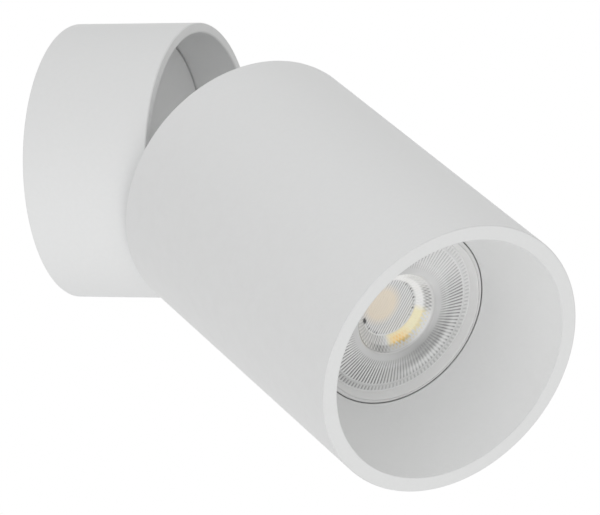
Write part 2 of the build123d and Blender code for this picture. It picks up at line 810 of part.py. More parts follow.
# Bent steel strap that holds the lampholder off the rear cap.
with BuildPart() as holder_bridge:
    with BuildSketch(head_section):
        with BuildLine():
            Polyline(
                (-bridge_half_span - bridge_foot, cap_front),
                (-bridge_half_span + bridge_sheet, cap_front),
                (-bridge_half_span + bridge_sheet, bridge_top),
                (bridge_half_span - bridge_sheet, bridge_top),
                (bridge_half_span - bridge_sheet, cap_front),
                (bridge_half_span + bridge_foot, cap_front),
                (bridge_half_span + bridge_foot, cap_front + bridge_sheet),
                (bridge_half_span, cap_front + bridge_sheet),
                (bridge_half_span, holder_rear),
                (-bridge_half_span, holder_rear),
                (-bridge_half_span, cap_front + bridge_sheet),
                (-bridge_half_span - bridge_foot, cap_front + bridge_sheet),
                close=True,
            )
        make_face()
    extrude(amount=bridge_width / 2, both=True)
    with BuildSketch(head.offset(cap_front)):
        with Locations((-bridge_screw_offset, 0), (bridge_screw_offset, 0)):
            Circle(m3_radius + drop_in)
        with Locations((-holder_screw_offset, 0), (holder_screw_offset, 0)):
            Circle(m3_radius + drop_in)
        Circle(spigot_radius)
    extrude(amount=holder_rear - cap_front, mode=Mode.SUBTRACT)
holder_bridge.part.label = "holder_bridge"
export_step(holder_bridge.part, "parts/holder_bridge.step")

# Two screws through the strap's feet into the rear cap.
with BuildPart() as bridge_screws:
    for height, radius, length in (
        (cap_rear + edge_round, m3_radius - running, cap_thickness + bridge_sheet),
        (cap_front + bridge_sheet, m3_head_radius, m3_head_height),
    ):
        with BuildSketch(head.offset(height)):
            with Locations((-bridge_screw_offset, 0), (bridge_screw_offset, 0)):
                Circle(radius)
        extrude(amount=length)
bridge_screws.part.label = "bridge_screws"
export_step(bridge_screws.part, "parts/bridge_screws.step")

# Ceramic lampholder: two keyhole arcs in its face, and behind them the space for the pin heads.
lock_arc = CenterArc((0, 0), pin_pitch_radius, lock_start, lock_angle)
lock_shelf = lamp_foot - lock_plate
lock_floor = lamp_foot - pin_neck - pin_head - 2 * contact_sheet
with BuildPart() as lampholder:
    with BuildSketch(head.offset(holder_rear)):
        Circle(holder_radius)
        Rectangle(2 * holder_radius, 2 * holder_flat, mode=Mode.INTERSECT)
    extrude(amount=holder_depth)
    with BuildSketch(head.offset(lamp_foot)):
        with PolarLocations(0, 2):
            SlotArc(lock_arc, 2 * (pin_radius + sliding))
        with PolarLocations(pin_pitch_radius, 2, start_angle=lock_start + lock_angle):
            Circle(pin_head_radius + sliding)
    extrude(amount=-lock_plate, mode=Mode.SUBTRACT)
    with BuildSketch(head.offset(lock_shelf)):
        with PolarLocations(0, 2):
            SlotArc(lock_arc, 2 * (pin_head_radius + sliding))
    extrude(amount=lock_floor - lock_shelf, mode=Mode.SUBTRACT)
    with BuildSketch(head.offset(holder_rear)):
        with Locations((-holder_screw_offset, 0), (holder_screw_offset, 0)):
            Circle(m3_radius)
    extrude(amount=holder_depth / 2, mode=Mode.SUBTRACT)
lampholder.part.label = "lampholder"
export_step(lampholder.part, "parts/lampholder.step")

# Two screws through the strap into the lampholder.
with BuildPart() as holder_screws:
    with BuildSketch(head.offset(bridge_top)):
        with Locations((-holder_screw_offset, 0), (holder_screw_offset, 0)):
            Circle(m3_radius - running)
    extrude(amount=bridge_sheet + holder_depth / 2 - edge_round)
    with BuildSketch(head.offset(bridge_top)):
        with Locations((-holder_screw_offset, 0), (holder_screw_offset, 0)):
            Circle(m3_head_radius)
    extrude(amount=-m3_head_height)
holder_screws.part.label = "holder_screws"
export_step(holder_screws.part, "parts/holder_screws.step")

# Two sprung bronze contacts on the floor of the pin spaces.
with BuildPart() as socket_contacts:
    with BuildSketch(head.offset(lock_floor)):
        with PolarLocations(0, 2):
            SlotArc(lock_arc, 2 * pin_head_radius - sliding)
    extrude(amount=contact_sheet)
socket_contacts.part.label = "socket_contacts"
export_step(socket_contacts.part, "parts/socket_contacts.step")

# Two insulated leads from the lampholder back into the hollow knuckle.
with BuildPart() as holder_leads:
    with BuildSketch(head.offset(holder_rear)):
        with Locations((-lead_offset, 0), (lead_offset, 0)):
            Circle(lead_radius)
    extrude(amount=turning_radius - holder_rear)
holder_leads.part.label = "holder_leads"
export_step(holder_leads.part, "parts/holder_leads.step")

# Spun aluminium funnel behind the front lip, with a seating flange and a collar round the lamp.
with BuildPart() as baffle:
    with BuildSketch(head_section):
        with BuildLine():
            Polyline(
                (cone_radius(lip_thickness), lip_rear),
                (cone_radius(lip_thickness) + baffle_wall, lip_rear),
                (cone_radius(baffle_flange_depth) + baffle_wall, flange_front),
                (cap_seat_radius - drop_in, flange_front),
                (cap_seat_radius - drop_in, flange_rear),
                (cone_radius(baffle_flange_depth + baffle_wall) + baffle_wall, flange_rear),
                (baffle_exit + baffle_wall, baffle_end),
                (baffle_exit + baffle_wall, baffle_end - baffle_collar),
                (baffle_exit, baffle_end - baffle_collar),
                (baffle_exit, baffle_end),
                close=True,
            )
        make_face()
    revolve(axis=head_axis)
baffle.part.label = "baffle"
export_step(baffle.part, "parts/baffle.step")

# Square-section spring ring that keeps the baffle against the lip.
snap_outer = cap_seat_radius + circlip_depth - drop_in
with BuildPart() as baffle_snap_ring:
    with BuildSketch(head.offset(snap_rear)):
        Circle(snap_outer)
        Circle(snap_outer - 2 * snap_ring, mode=Mode.SUBTRACT)
        with Locations((0, -snap_outer)):
            Rectangle(4 * snap_ring, 6 * snap_ring, mode=Mode.SUBTRACT)
    extrude(amount=snap_ring)
baffle_snap_ring.part.label = "baffle_snap_ring"
export_step(baffle_snap_ring.part, "parts/baffle_snap_ring.step")

# ---- Lamp: turns in the lampholder to lock -------------------------------------------------------

rim_rear = lamp_front - lamp_bevel_drop - lamp_rim
seat_face = lamp_front - lens_seat
housing_foot = lamp_foot + neck_length
board_face = lamp_front - led_setback
board_rear = board_face - led_board_sheet
neck_top_radius = neck_radius + edge_round
driver_bay_radius = neck_radius - neck_wall
lens_radius = lamp_radius - lamp_bevel - lamp_lip
lens_pocket = lens_radius - lens_seat_width

# Die-cast housing: bevelled rim, curved flank down to the neck, and a hollow for the optics.
with BuildPart() as lamp_housing:
    with BuildSketch(head_section):
        with BuildLine():
            Polyline(
                (neck_top_radius, housing_foot),
                (driver_bay_radius, housing_foot),
                (driver_bay_radius, board_rear),
                (led_board_radius + drop_in, board_rear),
                (led_board_radius + drop_in, board_face),
                (lens_pocket, seat_face),
                (lens_radius + drop_in, seat_face),
                (lens_radius + drop_in, lamp_front - lens_rim_drop),
                (lens_radius + lamp_lip_flare, lamp_front),
                (lamp_radius - lamp_bevel, lamp_front),
                (lamp_radius, lamp_front - lamp_bevel_drop),
                (lamp_radius, rim_rear),
            )
            Bezier(
                (lamp_radius, rim_rear),
                (lamp_radius, rim_rear - flank_pull),
                (neck_radius + waist_step, board_rear - waist_setback),
                (neck_top_radius, housing_foot),
            )
        make_face()
    revolve(axis=head_axis)
lamp_housing.part.label = "lamp_housing"
export_step(lamp_housing.part, "parts/lamp_housing.step")

# Moulded lens: flat rim, ribbed fan, sunken hub, and a collecting cone behind it.
lens_front = lamp_front - lens_rim_drop
collector_rear = board_face + led_height + collector_rise
with BuildPart() as lamp_lens:
    with BuildSketch(head_section):
        with BuildLine():
            Polyline(
                (0, lamp_front - eye_drop),
                (eye_radius, lamp_front - eye_drop),
                (hub_radius, lamp_front - hub_drop),
                (fan_inner_radius, lens_front + fan_rise),
                (lens_radius - lens_border, lens_front),
                (lens_radius, lens_front),
                (lens_radius, seat_face),
                (lens_pocket - drop_in, seat_face),
                (led_radius + collector_rise + collector_wall, collector_rear),
                (led_radius + collector_rise, collector_rear),
                (led_radius, collector_rear + led_radius),
                (0, collector_rear + led_radius + collector_rise),
                close=True,
            )
        make_face()
    revolve(axis=head_axis)
lamp_lens.part.label = "lamp_lens"
export_step(lamp_lens.part, "parts/lamp_lens.step")

# Aluminium circuit disc that carries the light source.
with BuildPart() as lamp_led_board:
    with BuildSketch(head.offset(board_rear)):
        Circle(led_board_radius)
    extrude(amount=led_board_sheet)
lamp_led_board.part.label = "lamp_led_board"
export_step(lamp_led_board.part, "parts/lamp_led_board.step")

# Round light source with its yellow phosphor dome.
with BuildPart() as lamp_led:
    with BuildSketch(head.offset(board_face)):
        Circle(led_radius)
    extrude(amount=led_height)
    fillet(lamp_led.edges().filter_by(GeomType.CIRCLE).sort_by(head_axis)[-1], led_height / 2)
lamp_led.part.label = "lamp_led"
export_step(lamp_led.part, "parts/lamp_led.step")

# Moulded neck that plugs the housing and holds the two pins.
with BuildPart() as lamp_cap:
    with BuildSketch(head.offset(lamp_foot)):
        Circle(neck_radius)
        with PolarLocations(pin_pitch_radius, 2, start_angle=lock_start):
            Circle(pin_radius, mode=Mode.SUBTRACT)
    extrude(amount=neck_length)
    with BuildSketch(head.offset(housing_foot)):
        Circle(driver_bay_radius - drop_in)
    extrude(amount=neck_plug)
lamp_cap.part.label = "lamp_cap"
export_step(lamp_cap.part, "parts/lamp_cap.step")

# Small driver board, upright between the neck and the circuit disc.
driver_foot = housing_foot + neck_plug
with BuildPart() as lamp_driver:
    with BuildSketch(head.offset(driver_foot)):
        Rectangle(2 * driver_half_width, driver_sheet)
    extrude(amount=board_rear - driver_foot - sliding)
    with BuildSketch(head.offset(driver_foot + sliding)):
        with Locations((0, driver_parts / 2)):
            Rectangle(driver_half_width, driver_parts)
    extrude(amount=board_rear - driver_foot - 4 * sliding)
lamp_driver.part.label = "lamp_driver"
export_step(lamp_driver.part, "parts/lamp_driver.step")

# Two plated pins, each with a mushroom head that locks behind the keyhole.
with BuildPart() as lamp_pins:
    with BuildSketch(head.offset(lamp_foot - pin_neck)):
        with PolarLocations(pin_pitch_radius, 2, start_angle=lock_start):
            Circle(pin_radius)
    extrude(amount=pin_neck + neck_plug)
    with BuildSketch(head.offset(lamp_foot - pin_neck)):
        with PolarLocations(pin_pitch_radius, 2, start_angle=lock_start):
            Circle(pin_head_radius)
    extrude(amount=-pin_head)
    pin_ends = lamp_pins.edges().filter_by(GeomType.CIRCLE).sort_by(head_axis)[:2]
    fillet(pin_ends, edge_round)
lamp_pins.part.label = "lamp_pins"
export_step(lamp_pins.part, "parts/lamp_pins.step")
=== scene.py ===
"""Looks of the surface mounted ceiling spotlight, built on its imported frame. All lengths are in metres."""

import json
import math

import bpy
import numpy as np
from mathutils import Matrix, Vector


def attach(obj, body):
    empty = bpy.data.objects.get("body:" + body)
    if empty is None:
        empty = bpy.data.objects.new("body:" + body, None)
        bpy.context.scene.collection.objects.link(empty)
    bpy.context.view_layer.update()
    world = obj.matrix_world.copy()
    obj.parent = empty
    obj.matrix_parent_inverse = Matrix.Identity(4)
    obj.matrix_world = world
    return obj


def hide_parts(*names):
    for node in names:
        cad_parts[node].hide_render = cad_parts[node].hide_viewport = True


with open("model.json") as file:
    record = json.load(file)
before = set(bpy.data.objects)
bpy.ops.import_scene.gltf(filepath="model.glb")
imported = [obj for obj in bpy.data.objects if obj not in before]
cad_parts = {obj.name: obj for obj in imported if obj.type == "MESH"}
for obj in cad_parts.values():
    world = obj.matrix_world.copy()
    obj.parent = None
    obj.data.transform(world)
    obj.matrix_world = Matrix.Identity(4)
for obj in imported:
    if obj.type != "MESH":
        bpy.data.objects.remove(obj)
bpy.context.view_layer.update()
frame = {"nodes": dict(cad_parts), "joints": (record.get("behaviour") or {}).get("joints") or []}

# ---- Camera --------------------------------------------------------------------------------------
# A long lens stands below and beside the lamp and looks up at it, rolled so that the ceiling is at
# the left and the tube runs down to the right.

camera_place = Vector((0.6997, -0.8566, -0.5171))
camera_back = Vector((0.60236, -0.70285, -0.37836))
camera_up = Vector((0.76166, 0.64792, 0.00900))
camera_right = camera_up.cross(camera_back)

camera_data = bpy.data.cameras.new("camera")
camera_data.sensor_width = 36.0
camera_data.lens = 265.6
camera_data.clip_end = 20.0
camera = bpy.data.objects.new("camera", camera_data)
camera_turn = Matrix((camera_right, camera_up, camera_back)).transposed().to_4x4()
camera.matrix_world = Matrix.Translation(camera_place) @ camera_turn
bpy.context.scene.collection.objects.link(camera)
bpy.context.scene.camera = camera

# ---- World, floor and lights ---------------------------------------------------------------------
# A white tent round the lamp: the world lights every side evenly, and is pure white where it is seen,
# mirrored or looked at through glass. Five soft boxes shade the tube from its sides, from above and from
# below, and the floor lies far down, as under a ceiling light.

ambient = 0.551

bpy.context.scene.view_settings.view_transform = "Standard"


def feed(links, socket, value):
    """Give a socket a value, or a link where the value is another node's output."""
    if isinstance(value, bpy.types.NodeSocket):
        links.new(value, socket)
    else:
        socket.default_value = value


def maths(nodes, links, operation, *terms, clamp=False):
    """Output of a maths node whose terms are numbers or other nodes' outputs."""
    node = nodes.new("ShaderNodeMath")
    node.operation = operation
    node.use_clamp = clamp
    for socket, term in zip(node.inputs, terms):
        feed(links, socket, term)
    return node.outputs[0]


world = bpy.data.worlds.new("tent")
world.use_nodes = True
bpy.context.scene.world = world
nodes, links = world.node_tree.nodes, world.node_tree.links
nodes.clear()
path = nodes.new("ShaderNodeLightPath").outputs
seen = maths(nodes, links, "MAXIMUM", path["Is Camera Ray"], path["Is Glossy Ray"])
seen = maths(nodes, links, "MAXIMUM", seen, path["Is Transmission Ray"])
choice = nodes.new("ShaderNodeMixShader")
links.new(seen, choice.inputs["Fac"])
for slot, strength in ((1, ambient), (2, 1.0)):
    background = nodes.new("ShaderNodeBackground")
    background.inputs["Color"].default_value = (1.0, 1.0, 1.0, 1.0)
    background.inputs["Strength"].default_value = strength
    links.new(background.outputs[0], choice.inputs[slot])
output = nodes.new("ShaderNodeOutputWorld")
links.new(choice.outputs[0], output.inputs["Surface"])


def soft_box(name, place, aim, width, power):
    """Square area light at a place, turned towards a point. Bright metal mirrors the tent and not it."""
    data = bpy.data.lights.new(name, "AREA")
    data.shape = "SQUARE"
    data.size = width
    data.energy = power
    light = bpy.data.objects.new(name, data)
    light.location = place
    light.rotation_euler = (Vector(aim) - Vector(place)).to_track_quat("-Z", "Y").to_euler()
    light.visible_glossy = False
    bpy.context.scene.collection.objects.link(light)


lamp_middle = (0.0, -0.04, -0.08)
box_width = 1.4
for box_name, box_place, box_power in (
    ("side_light", (-0.9, -1.5, -0.5), 7.4),
    ("high_light", (1.2, -1.3, 0.5), 5.7),
    ("back_light", (1.3, 0.9, -0.7), 3.7),
    ("low_light", (1.0, -0.9, -0.9), 2.8),
    ("front_light", (0.0, -1.24, -1.45), 2.7),
):
    soft_box(box_name, box_place, lamp_middle, box_width, box_power)

floor_height = -2.4
floor_half = 4.0
floor_colour = (0.86, 0.86, 0.85, 1.0)
floor_mesh = bpy.data.meshes.new("floor")
floor_corners = [(-1, -1), (1, -1), (1, 1), (-1, 1)]
floor_mesh.from_pydata(
    [(floor_half * x, floor_half * y, floor_height) for x, y in floor_corners], [], [(0, 1, 2, 3)]
)
floor = bpy.data.objects.new("floor", floor_mesh)
bpy.context.scene.collection.objects.link(floor)
floor_material = bpy.data.materials.new("pale_floor")
floor_material.use_nodes = True
floor_shader = floor_material.node_tree.nodes["Principled BSDF"]
floor_shader.inputs["Base Color"].default_value = floor_colour
floor_shader.inputs["Roughness"].default_value = 0.9
floor_mesh.materials.append(floor_material)

# ---- Base ring -----------------------------------------------------------------------------------
# Turned aluminium ring, open below, with an inner ledge above the carrier disc. It is sprayed with a
# matt white powder coat, which melts into a fine orange peel and rounds every edge.

base_origin = Vector((0.0, 0.0, 0.0))
downwards = Vector((0.0, 0.0, -1.0))
coat_edge = 0.00045
turned_edge = 0.0002
fine_edge = 0.0001
sharp_edge = 0.00003
coat_colour = (0.845, 0.85, 0.85, 1.0)


def span(node, origin, axis):
    """Rear and front along an axis, and least and greatest radius round it, of a CAD node's vertices."""
    mesh = frame["nodes"][node].data
    place = np.empty(3 * len(mesh.vertices))
    mesh.vertices.foreach_get("co", place)
    away = place.reshape(-1, 3) - np.array(origin)
    along = away @ np.array(axis)
    radius = np.linalg.norm(away - np.outer(along, np.array(axis)), axis=1)
    return along.min(), along.max(), radius.min(), radius.max()


def rounded(corners, steps=5, guard=0.00004, shown=0.00005):
    """Closed outline of (radius, height) points whose corners (radius, height, fillet) are arcs.

    Each arc starts and ends where its circle touches the two sides, and is worked out as a blend of the
    two arms from its centre: (sin((1 - share) * swing) * first + sin(share * swing) * last) / sin(swing).
    A guard point beside each end keeps the flat sides flat when the surface is shaded smooth. Returns the
    points and which lie on an arc whose fillet is large enough to be shown as an edge.
    """
    points = np.array([corner[:2] for corner in corners])
    fillets = np.array([corner[2] for corner in corners])
    back = np.roll(points, 1, axis=0) - points
    ahead = np.roll(points, -1, axis=0) - points
    back_unit = back / np.linalg.norm(back, axis=1, keepdims=True)
    ahead_unit = ahead / np.linalg.norm(ahead, axis=1, keepdims=True)
    half = np.arccos(np.clip((back_unit * ahead_unit).sum(1), -1, 1)) / 2
    tangent = (fillets / np.tan(half))[:, None]
    middle = back_unit + ahead_unit
    middle /= np.linalg.norm(middle, axis=1, keepdims=True)
    centre = points + middle * (fillets / np.sin(half))[:, None]
    first = points + back_unit * tangent - centre
    last = points + ahead_unit * tangent - centre
    share = np.linspace(0, 1, steps)[None, :, None]
    swing = (math.pi - 2 * half)[:, None, None]
    blend = np.sin((1 - share) * swing) * first[:, None] + np.sin(share * swing) * last[:, None]
    arcs = centre[:, None] + blend / np.sin(swing)
    before = arcs[:, :1] + back_unit[:, None] * guard
    after = arcs[:, -1:] + ahead_unit[:, None] * guard
    outline = np.concatenate([before, arcs, after], axis=1)
    on_arc = np.zeros(outline.shape[:2])
    on_arc[:, 1:-1] = fillets[:, None] > shown
    return outline.reshape(-1, 2), on_arc.ravel()


def add_mesh(name, place, faces, **marks):
    """Object with a smooth mesh from arrays of corners and faces, with a float attribute for each mark."""
    mesh = bpy.data.meshes.new(name)
    mesh.from_pydata(place.tolist(), [], faces)
    mesh.polygons.foreach_set("use_smooth", np.ones(len(mesh.polygons), bool))
    for mark, value in marks.items():
        attribute = mesh.attributes.new(mark, "FLOAT", "POINT")
        attribute.data.foreach_set("value", value.astype(np.float32))
    piece = bpy.data.objects.new(name, mesh)
    bpy.context.scene.collection.objects.link(piece)
    return piece


def turned(name, outline, on_arc, origin, axis, segments=256):
    """Ring-shaped surface of revolution from a closed outline of (radius, height) points.

    A point is origin + height * axis + radius * (cos(turn) * side + sin(turn) * cross), on a grid of
    outline points by turns, where side is +X, which is square to every turned piece's axis here, and
    cross is square to both. Both ways round close up.
    """
    radius, height = outline.T
    area = (radius * np.roll(height, -1) - np.roll(radius, -1) * height).sum()
    if area < 0:
        radius, height, on_arc = radius[::-1], height[::-1], on_arc[::-1]
    side = Vector((1.0, 0.0, 0.0))
    cross = axis.cross(side)
    turn = np.linspace(0, 2 * math.pi, segments, endpoint=False)
    outwards = np.cos(turn)[:, None] * np.array(side) + np.sin(turn)[:, None] * np.array(cross)
    place = np.array(origin) + height[:, None, None] * np.array(axis)
    place = place + radius[:, None, None] * outwards[None]
    ring, step = np.meshgrid(np.arange(len(radius)), np.arange(segments), indexing="ij")
    next_ring = (ring + 1) % len(radius)
    next_step = (step + 1) % segments
    quads = np.stack(
        [
            ring * segments + step,
            ring * segments + next_step,
            next_ring * segments + next_step,
            next_ring * segments + step,
        ],
        axis=-1,
    )
    edge = np.repeat(on_arc, segments)
    return add_mesh(name, place.reshape(-1, 3), quads.reshape(-1, 4).tolist(), edge=edge)


def new_group(name, inputs, outputs):
    """Empty shader node group with named float or vector inputs and outputs."""
    group = bpy.data.node_groups.new(name, "ShaderNodeTree")
    for label, kind, value in inputs:
        socket = group.interface.new_socket(name=label, in_out="INPUT", socket_type=kind)
        socket.default_value = value
    for label, kind in outputs:
        group.interface.new_socket(name=label, in_out="OUTPUT", socket_type=kind)
    return group, group.nodes.new("NodeGroupInput"), group.nodes.new("NodeGroupOutput")


def masked(nodes, name):
    """Output of a float attribute that a mesh carries."""
    attribute = nodes.new("ShaderNodeAttribute")
    attribute.attribute_name = name
    return attribute.outputs["Fac"]


def noise(nodes, links, place, scale, detail):
    """Factor of a noise texture at a place, whose scale is a number or an output."""
    texture = nodes.new("ShaderNodeTexNoise")
    texture.inputs["Detail"].default_value = detail
    links.new(place, texture.inputs["Vector"])
    feed(links, texture.inputs["Scale"], scale)
    return texture.outputs["Fac"]


def bumped(nodes, links, height, depth, strength):
    """Normal of a surface that is raised by a height from 0 to 1 times a depth in metres."""
    bump = nodes.new("ShaderNodeBump")
    bump.inputs["Strength"].default_value = strength
    links.new(height, bump.inputs["Height"])
    links.new(depth, bump.inputs["Distance"])
    return bump.outputs["Normal"]


def coat_grain_group():
    """Fine orange peel of a melted powder coat: a soft swell with a finer grain on it."""
    group, entry, leave = new_group(
        "Coat grain",
        [
            ("Swell scale", "NodeSocketFloat", 900.0),
            ("Grain scale", "NodeSocketFloat", 4200.0),
            ("Depth", "NodeSocketFloat", 0.00002),
        ],
        [("Normal", "NodeSocketVector"), ("Mottle", "NodeSocketFloat")],
    )
    nodes, links = group.nodes, group.links
    place = nodes.new("ShaderNodeTexCoord").outputs["Object"]
    swell = noise(nodes, links, place, entry.outputs["Swell scale"], 1.0)
    grain = noise(nodes, links, place, entry.outputs["Grain scale"], 2.0)
    joined = maths(nodes, links, "MULTIPLY_ADD", grain, 0.35, swell)
    links.new(bumped(nodes, links, joined, entry.outputs["Depth"], 1.0), leave.inputs["Normal"])
    links.new(swell, leave.inputs["Mottle"])
    return group


def edge_wear_and_shade_group():
    """Thin coat and painted shade along edges: the mesh's edge mark, broken up by a coarse noise."""
    group, entry, leave = new_group(
        "Edge wear",
        [("Scale", "NodeSocketFloat", 140.0), ("Amount", "NodeSocketFloat", 0.5)],
        [("Wear_and_shade", "NodeSocketFloat")],
    )
    nodes, links = group.nodes, group.links
    place = nodes.new("ShaderNodeTexCoord").outputs["Object"]
    patches = noise(nodes, links, place, entry.outputs["Scale"], 3.0)
    broken = maths(nodes, links, "MULTIPLY", masked(nodes, "edge"), patches)
    worn_and_shaded = maths(nodes, links, "MULTIPLY", broken, entry.outputs["Amount"], clamp=True)
    links.new(worn_and_shaded, leave.inputs["Wear_and_shade"])
    return group


def dust_group():
    """House dust on what faces up: the upward part of the normal, thinned by a fine noise."""
    group, entry, leave = new_group(
        "Dust",
        [("Scale", "NodeSocketFloat", 260.0), ("Amount", "NodeSocketFloat", 0.3)],
        [("Dust", "NodeSocketFloat")],
    )
    nodes, links = group.nodes, group.links
    place = nodes.new("ShaderNodeTexCoord").outputs["Object"]
    specks = noise(nodes, links, place, entry.outputs["Scale"], 6.0)
    apart = nodes.new("ShaderNodeSeparateXYZ")
    links.new(nodes.new("ShaderNodeNewGeometry").outputs["Normal"], apart.inputs["Vector"])
    upward = maths(nodes, links, "MULTIPLY", apart.outputs["Z"], entry.outputs["Amount"], clamp=True)
    links.new(maths(nodes, links, "MULTIPLY", upward, specks), leave.inputs["Dust"])
    return group


coat_grain = coat_grain_group()
edge_wear_and_shade = edge_wear_and_shade_group()
dust = dust_group()


def new_material(name, roughness, metallic=0.0):
    """Principled material with its node tree's nodes and links, and the shader."""
    material = bpy.data.materials.new(name)
    material.use_nodes = True
    shader = material.node_tree.nodes["Principled BSDF"]
    shader.inputs["Roughness"].default_value = roughness
    shader.inputs["Metallic"].default_value = metallic
    return material, material.node_tree.nodes, material.node_tree.links, shader


def placed(nodes, group, **values):
    """A shader node group put into a material, with the values given for its inputs."""
    node = nodes.new("ShaderNodeGroup")
    node.node_tree = group
    for label, value in values.items():
        node.inputs[label.replace("_", " ")].default_value = value
    return node


def mixed(nodes, links, low, high, mask):
    """Colour that goes from low to high with a mask. Low and high are colours or outputs."""
    mix = nodes.new("ShaderNodeMix")
    mix.data_type = "RGBA"
    feed(links, mix.inputs[6], low)
    feed(links, mix.inputs[7], high)
    links.new(mask, mix.inputs[0])
    return mix.outputs[2]


def in_range(nodes, links, mask, low, high):
    """A mask from 0 to 1 stretched to run from low to high."""
    stretch = nodes.new("ShaderNodeMapRange")
    stretch.inputs["To Min"].default_value = low
    stretch.inputs["To Max"].default_value = high
    links.new(mask, stretch.inputs["Value"])
    return stretch.outputs["Result"]


dust_grey = (0.45, 0.43, 0.40, 1.0)


def powder_coat(name, colour, swell_scale=900.0, wear=0.8):
    """Matt white coat: slightly mottled, greyer at the edges where it draws thin and as painted shade, dusty
    where it faces up.
    """
    material, nodes, links, shader = new_material(name, 0.55)
    shader.inputs["Specular IOR Level"].default_value = 0.4
    grain = placed(nodes, coat_grain, Swell_scale=swell_scale)
    worn_and_shaded = placed(nodes, edge_wear_and_shade, Amount=wear)
    dusty = placed(nodes, dust, Amount=0.16)
    deeper = tuple(0.975 * part for part in colour[:3]) + (1.0,)
    # Greyer edges: the coat drawn thin, and painted shade on rounded edges that turn from the light.
    thin = tuple(0.80 * part for part in colour[:3]) + (1.0,)
    mottled = mixed(nodes, links, deeper, colour, grain.outputs["Mottle"])
    edged = mixed(nodes, links, mottled, thin, worn_and_shaded.outputs["Wear_and_shade"])
    links.new(mixed(nodes, links, edged, dust_grey, dusty.outputs["Dust"]), shader.inputs["Base Color"])
    links.new(in_range(nodes, links, grain.outputs["Mottle"], 0.50, 0.60), shader.inputs["Roughness"])
    links.new(grain.outputs["Normal"], shader.inputs["Normal"])
    return material


white_coat = powder_coat("white_coat", coat_colour)

base_rear, base_front, ledge_bore, body_radius = span("base_shell", base_origin, downwards)
ledge_under, disc_under, _, disc_radius = span("carrier_disc", base_origin, downwards)
disc_clearance = 0.00015
ledge_thickness = 0.003
relief_width = 0.00012
relief_depth = 0.0002
bore_radius = disc_radius + disc_clearance
ledge_top = ledge_under - ledge_thickness
base_outline, base_arcs = rounded(
    [
        (bore_radius, base_front, coat_edge),
        (body_radius, base_front, coat_edge),
        (body_radius, base_rear, turned_edge),
        (bore_radius, base_rear, turned_edge),
        (bore_radius, ledge_top, turned_edge),
        (ledge_bore, ledge_top, turned_edge),
        (ledge_bore, ledge_under, turned_edge),
        (bore_radius + relief_depth, ledge_under, fine_edge),
        (bore_radius + relief_depth, disc_under + relief_width, sharp_edge),
        (bore_radius, disc_under + relief_width, sharp_edge),
    ]
)
base_ring = turned("base_ring", base_outline, base_arcs, base_origin, downwards)
base_ring.data.materials.append(white_coat)
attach(base_ring, "base")
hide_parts("base_shell")

# ---- Ceiling plate, pillars and their screws -----------------------------------------------------
# Pressed steel plate that is screwed to the ceiling, with two riveted hexagon pillars that the disc
# below is screwed to. Everything is bright zinc plated, with the faint cloudy patches of a barrel.


def metal_grain_group():
    """Metal surface: broad soft clouds, and a fine grain stretched along one direction."""
    group, entry, leave = new_group(
        "Metal grain",
        [
            ("Cloud scale", "NodeSocketFloat", 130.0),
            ("Grain scale", "NodeSocketVector", (900.0, 900.0, 900.0)),
            ("Depth", "NodeSocketFloat", 0.000006),
        ],
        [("Normal", "NodeSocketVector"), ("Clouds", "NodeSocketFloat"), ("Grain", "NodeSocketFloat")],
    )
    nodes, links = group.nodes, group.links
    place = nodes.new("ShaderNodeTexCoord").outputs["Object"]
    clouds = noise(nodes, links, place, entry.outputs["Cloud scale"], 4.0)
    along = nodes.new("ShaderNodeVectorMath")
    along.operation = "MULTIPLY"
    links.new(place, along.inputs[0])
    links.new(entry.outputs["Grain scale"], along.inputs[1])
    grain = noise(nodes, links, along.outputs[0], 1.0, 3.0)
    links.new(bumped(nodes, links, grain, entry.outputs["Depth"], 0.6), leave.inputs["Normal"])
    links.new(clouds, leave.inputs["Clouds"])
    links.new(grain, leave.inputs["Grain"])
    return group


metal_grain = metal_grain_group()


def plated(name, dull, bright, roughness, grain_scale, dusty_amount=0.0):
    """Bare or plated metal: its colour follows the clouds, its roughness and normal the fine grain."""
    material, nodes, links, shader = new_material(name, roughness, metallic=1.0)
    metal = placed(nodes, metal_grain, Grain_scale=grain_scale)
    dusty = placed(nodes, dust, Amount=dusty_amount)
    colour = mixed(nodes, links, dull, bright, metal.outputs["Clouds"])
    links.new(mixed(nodes, links, colour, dust_grey, dusty.outputs["Dust"]), shader.inputs["Base Color"])
    rough = in_range(nodes, links, metal.outputs["Grain"], roughness - 0.08, roughness + 0.12)
    links.new(rough, shader.inputs["Roughness"])
    links.new(metal.outputs["Normal"], shader.inputs["Normal"])
    return material


def dress(material, *nodes):
    """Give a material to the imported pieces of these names."""
    for node in nodes:
        piece = frame["nodes"][node]
        if not piece.material_slots:
            piece.data.materials.append(None)
        for slot in piece.material_slots:
            slot.material = material


zinc_sheet = plated(
    "zinc_sheet", (0.52, 0.54, 0.57, 1), (0.72, 0.74, 0.76, 1), 0.36, (2600.0, 300.0, 900.0), 0.5
)
zinc_screw = plated(
    "zinc_screw", (0.60, 0.62, 0.65, 1), (0.78, 0.80, 0.82, 1), 0.26, (1500.0, 1500.0, 4000.0)
)
dress(zinc_sheet, "ceiling_plate")
dress(zinc_screw, "plate_pillars", "earth_screw", "block_screw")

# ---- Cable grommet -------------------------------------------------------------------------------
# Moulded rubber ring that is snapped into the plate's hole so that the supply cable isn't cut. It is
# matt black, with a bloom that greys it and dust on its upper lip.

rubber, nodes, links, shader = new_material("rubber", 0.72)
bloom = placed(nodes, coat_grain, Swell_scale=420.0, Grain_scale=2600.0, Depth=0.00003)
dusty = placed(nodes, dust, Amount=0.55, Scale=420.0)
black = mixed(nodes, links, (0.018, 0.018, 0.018, 1), (0.05, 0.05, 0.052, 1), bloom.outputs["Mottle"])
links.new(mixed(nodes, links, black, dust_grey, dusty.outputs["Dust"]), shader.inputs["Base Color"])
links.new(bloom.outputs["Normal"], shader.inputs["Normal"])
dress(rubber, "cable_grommet")

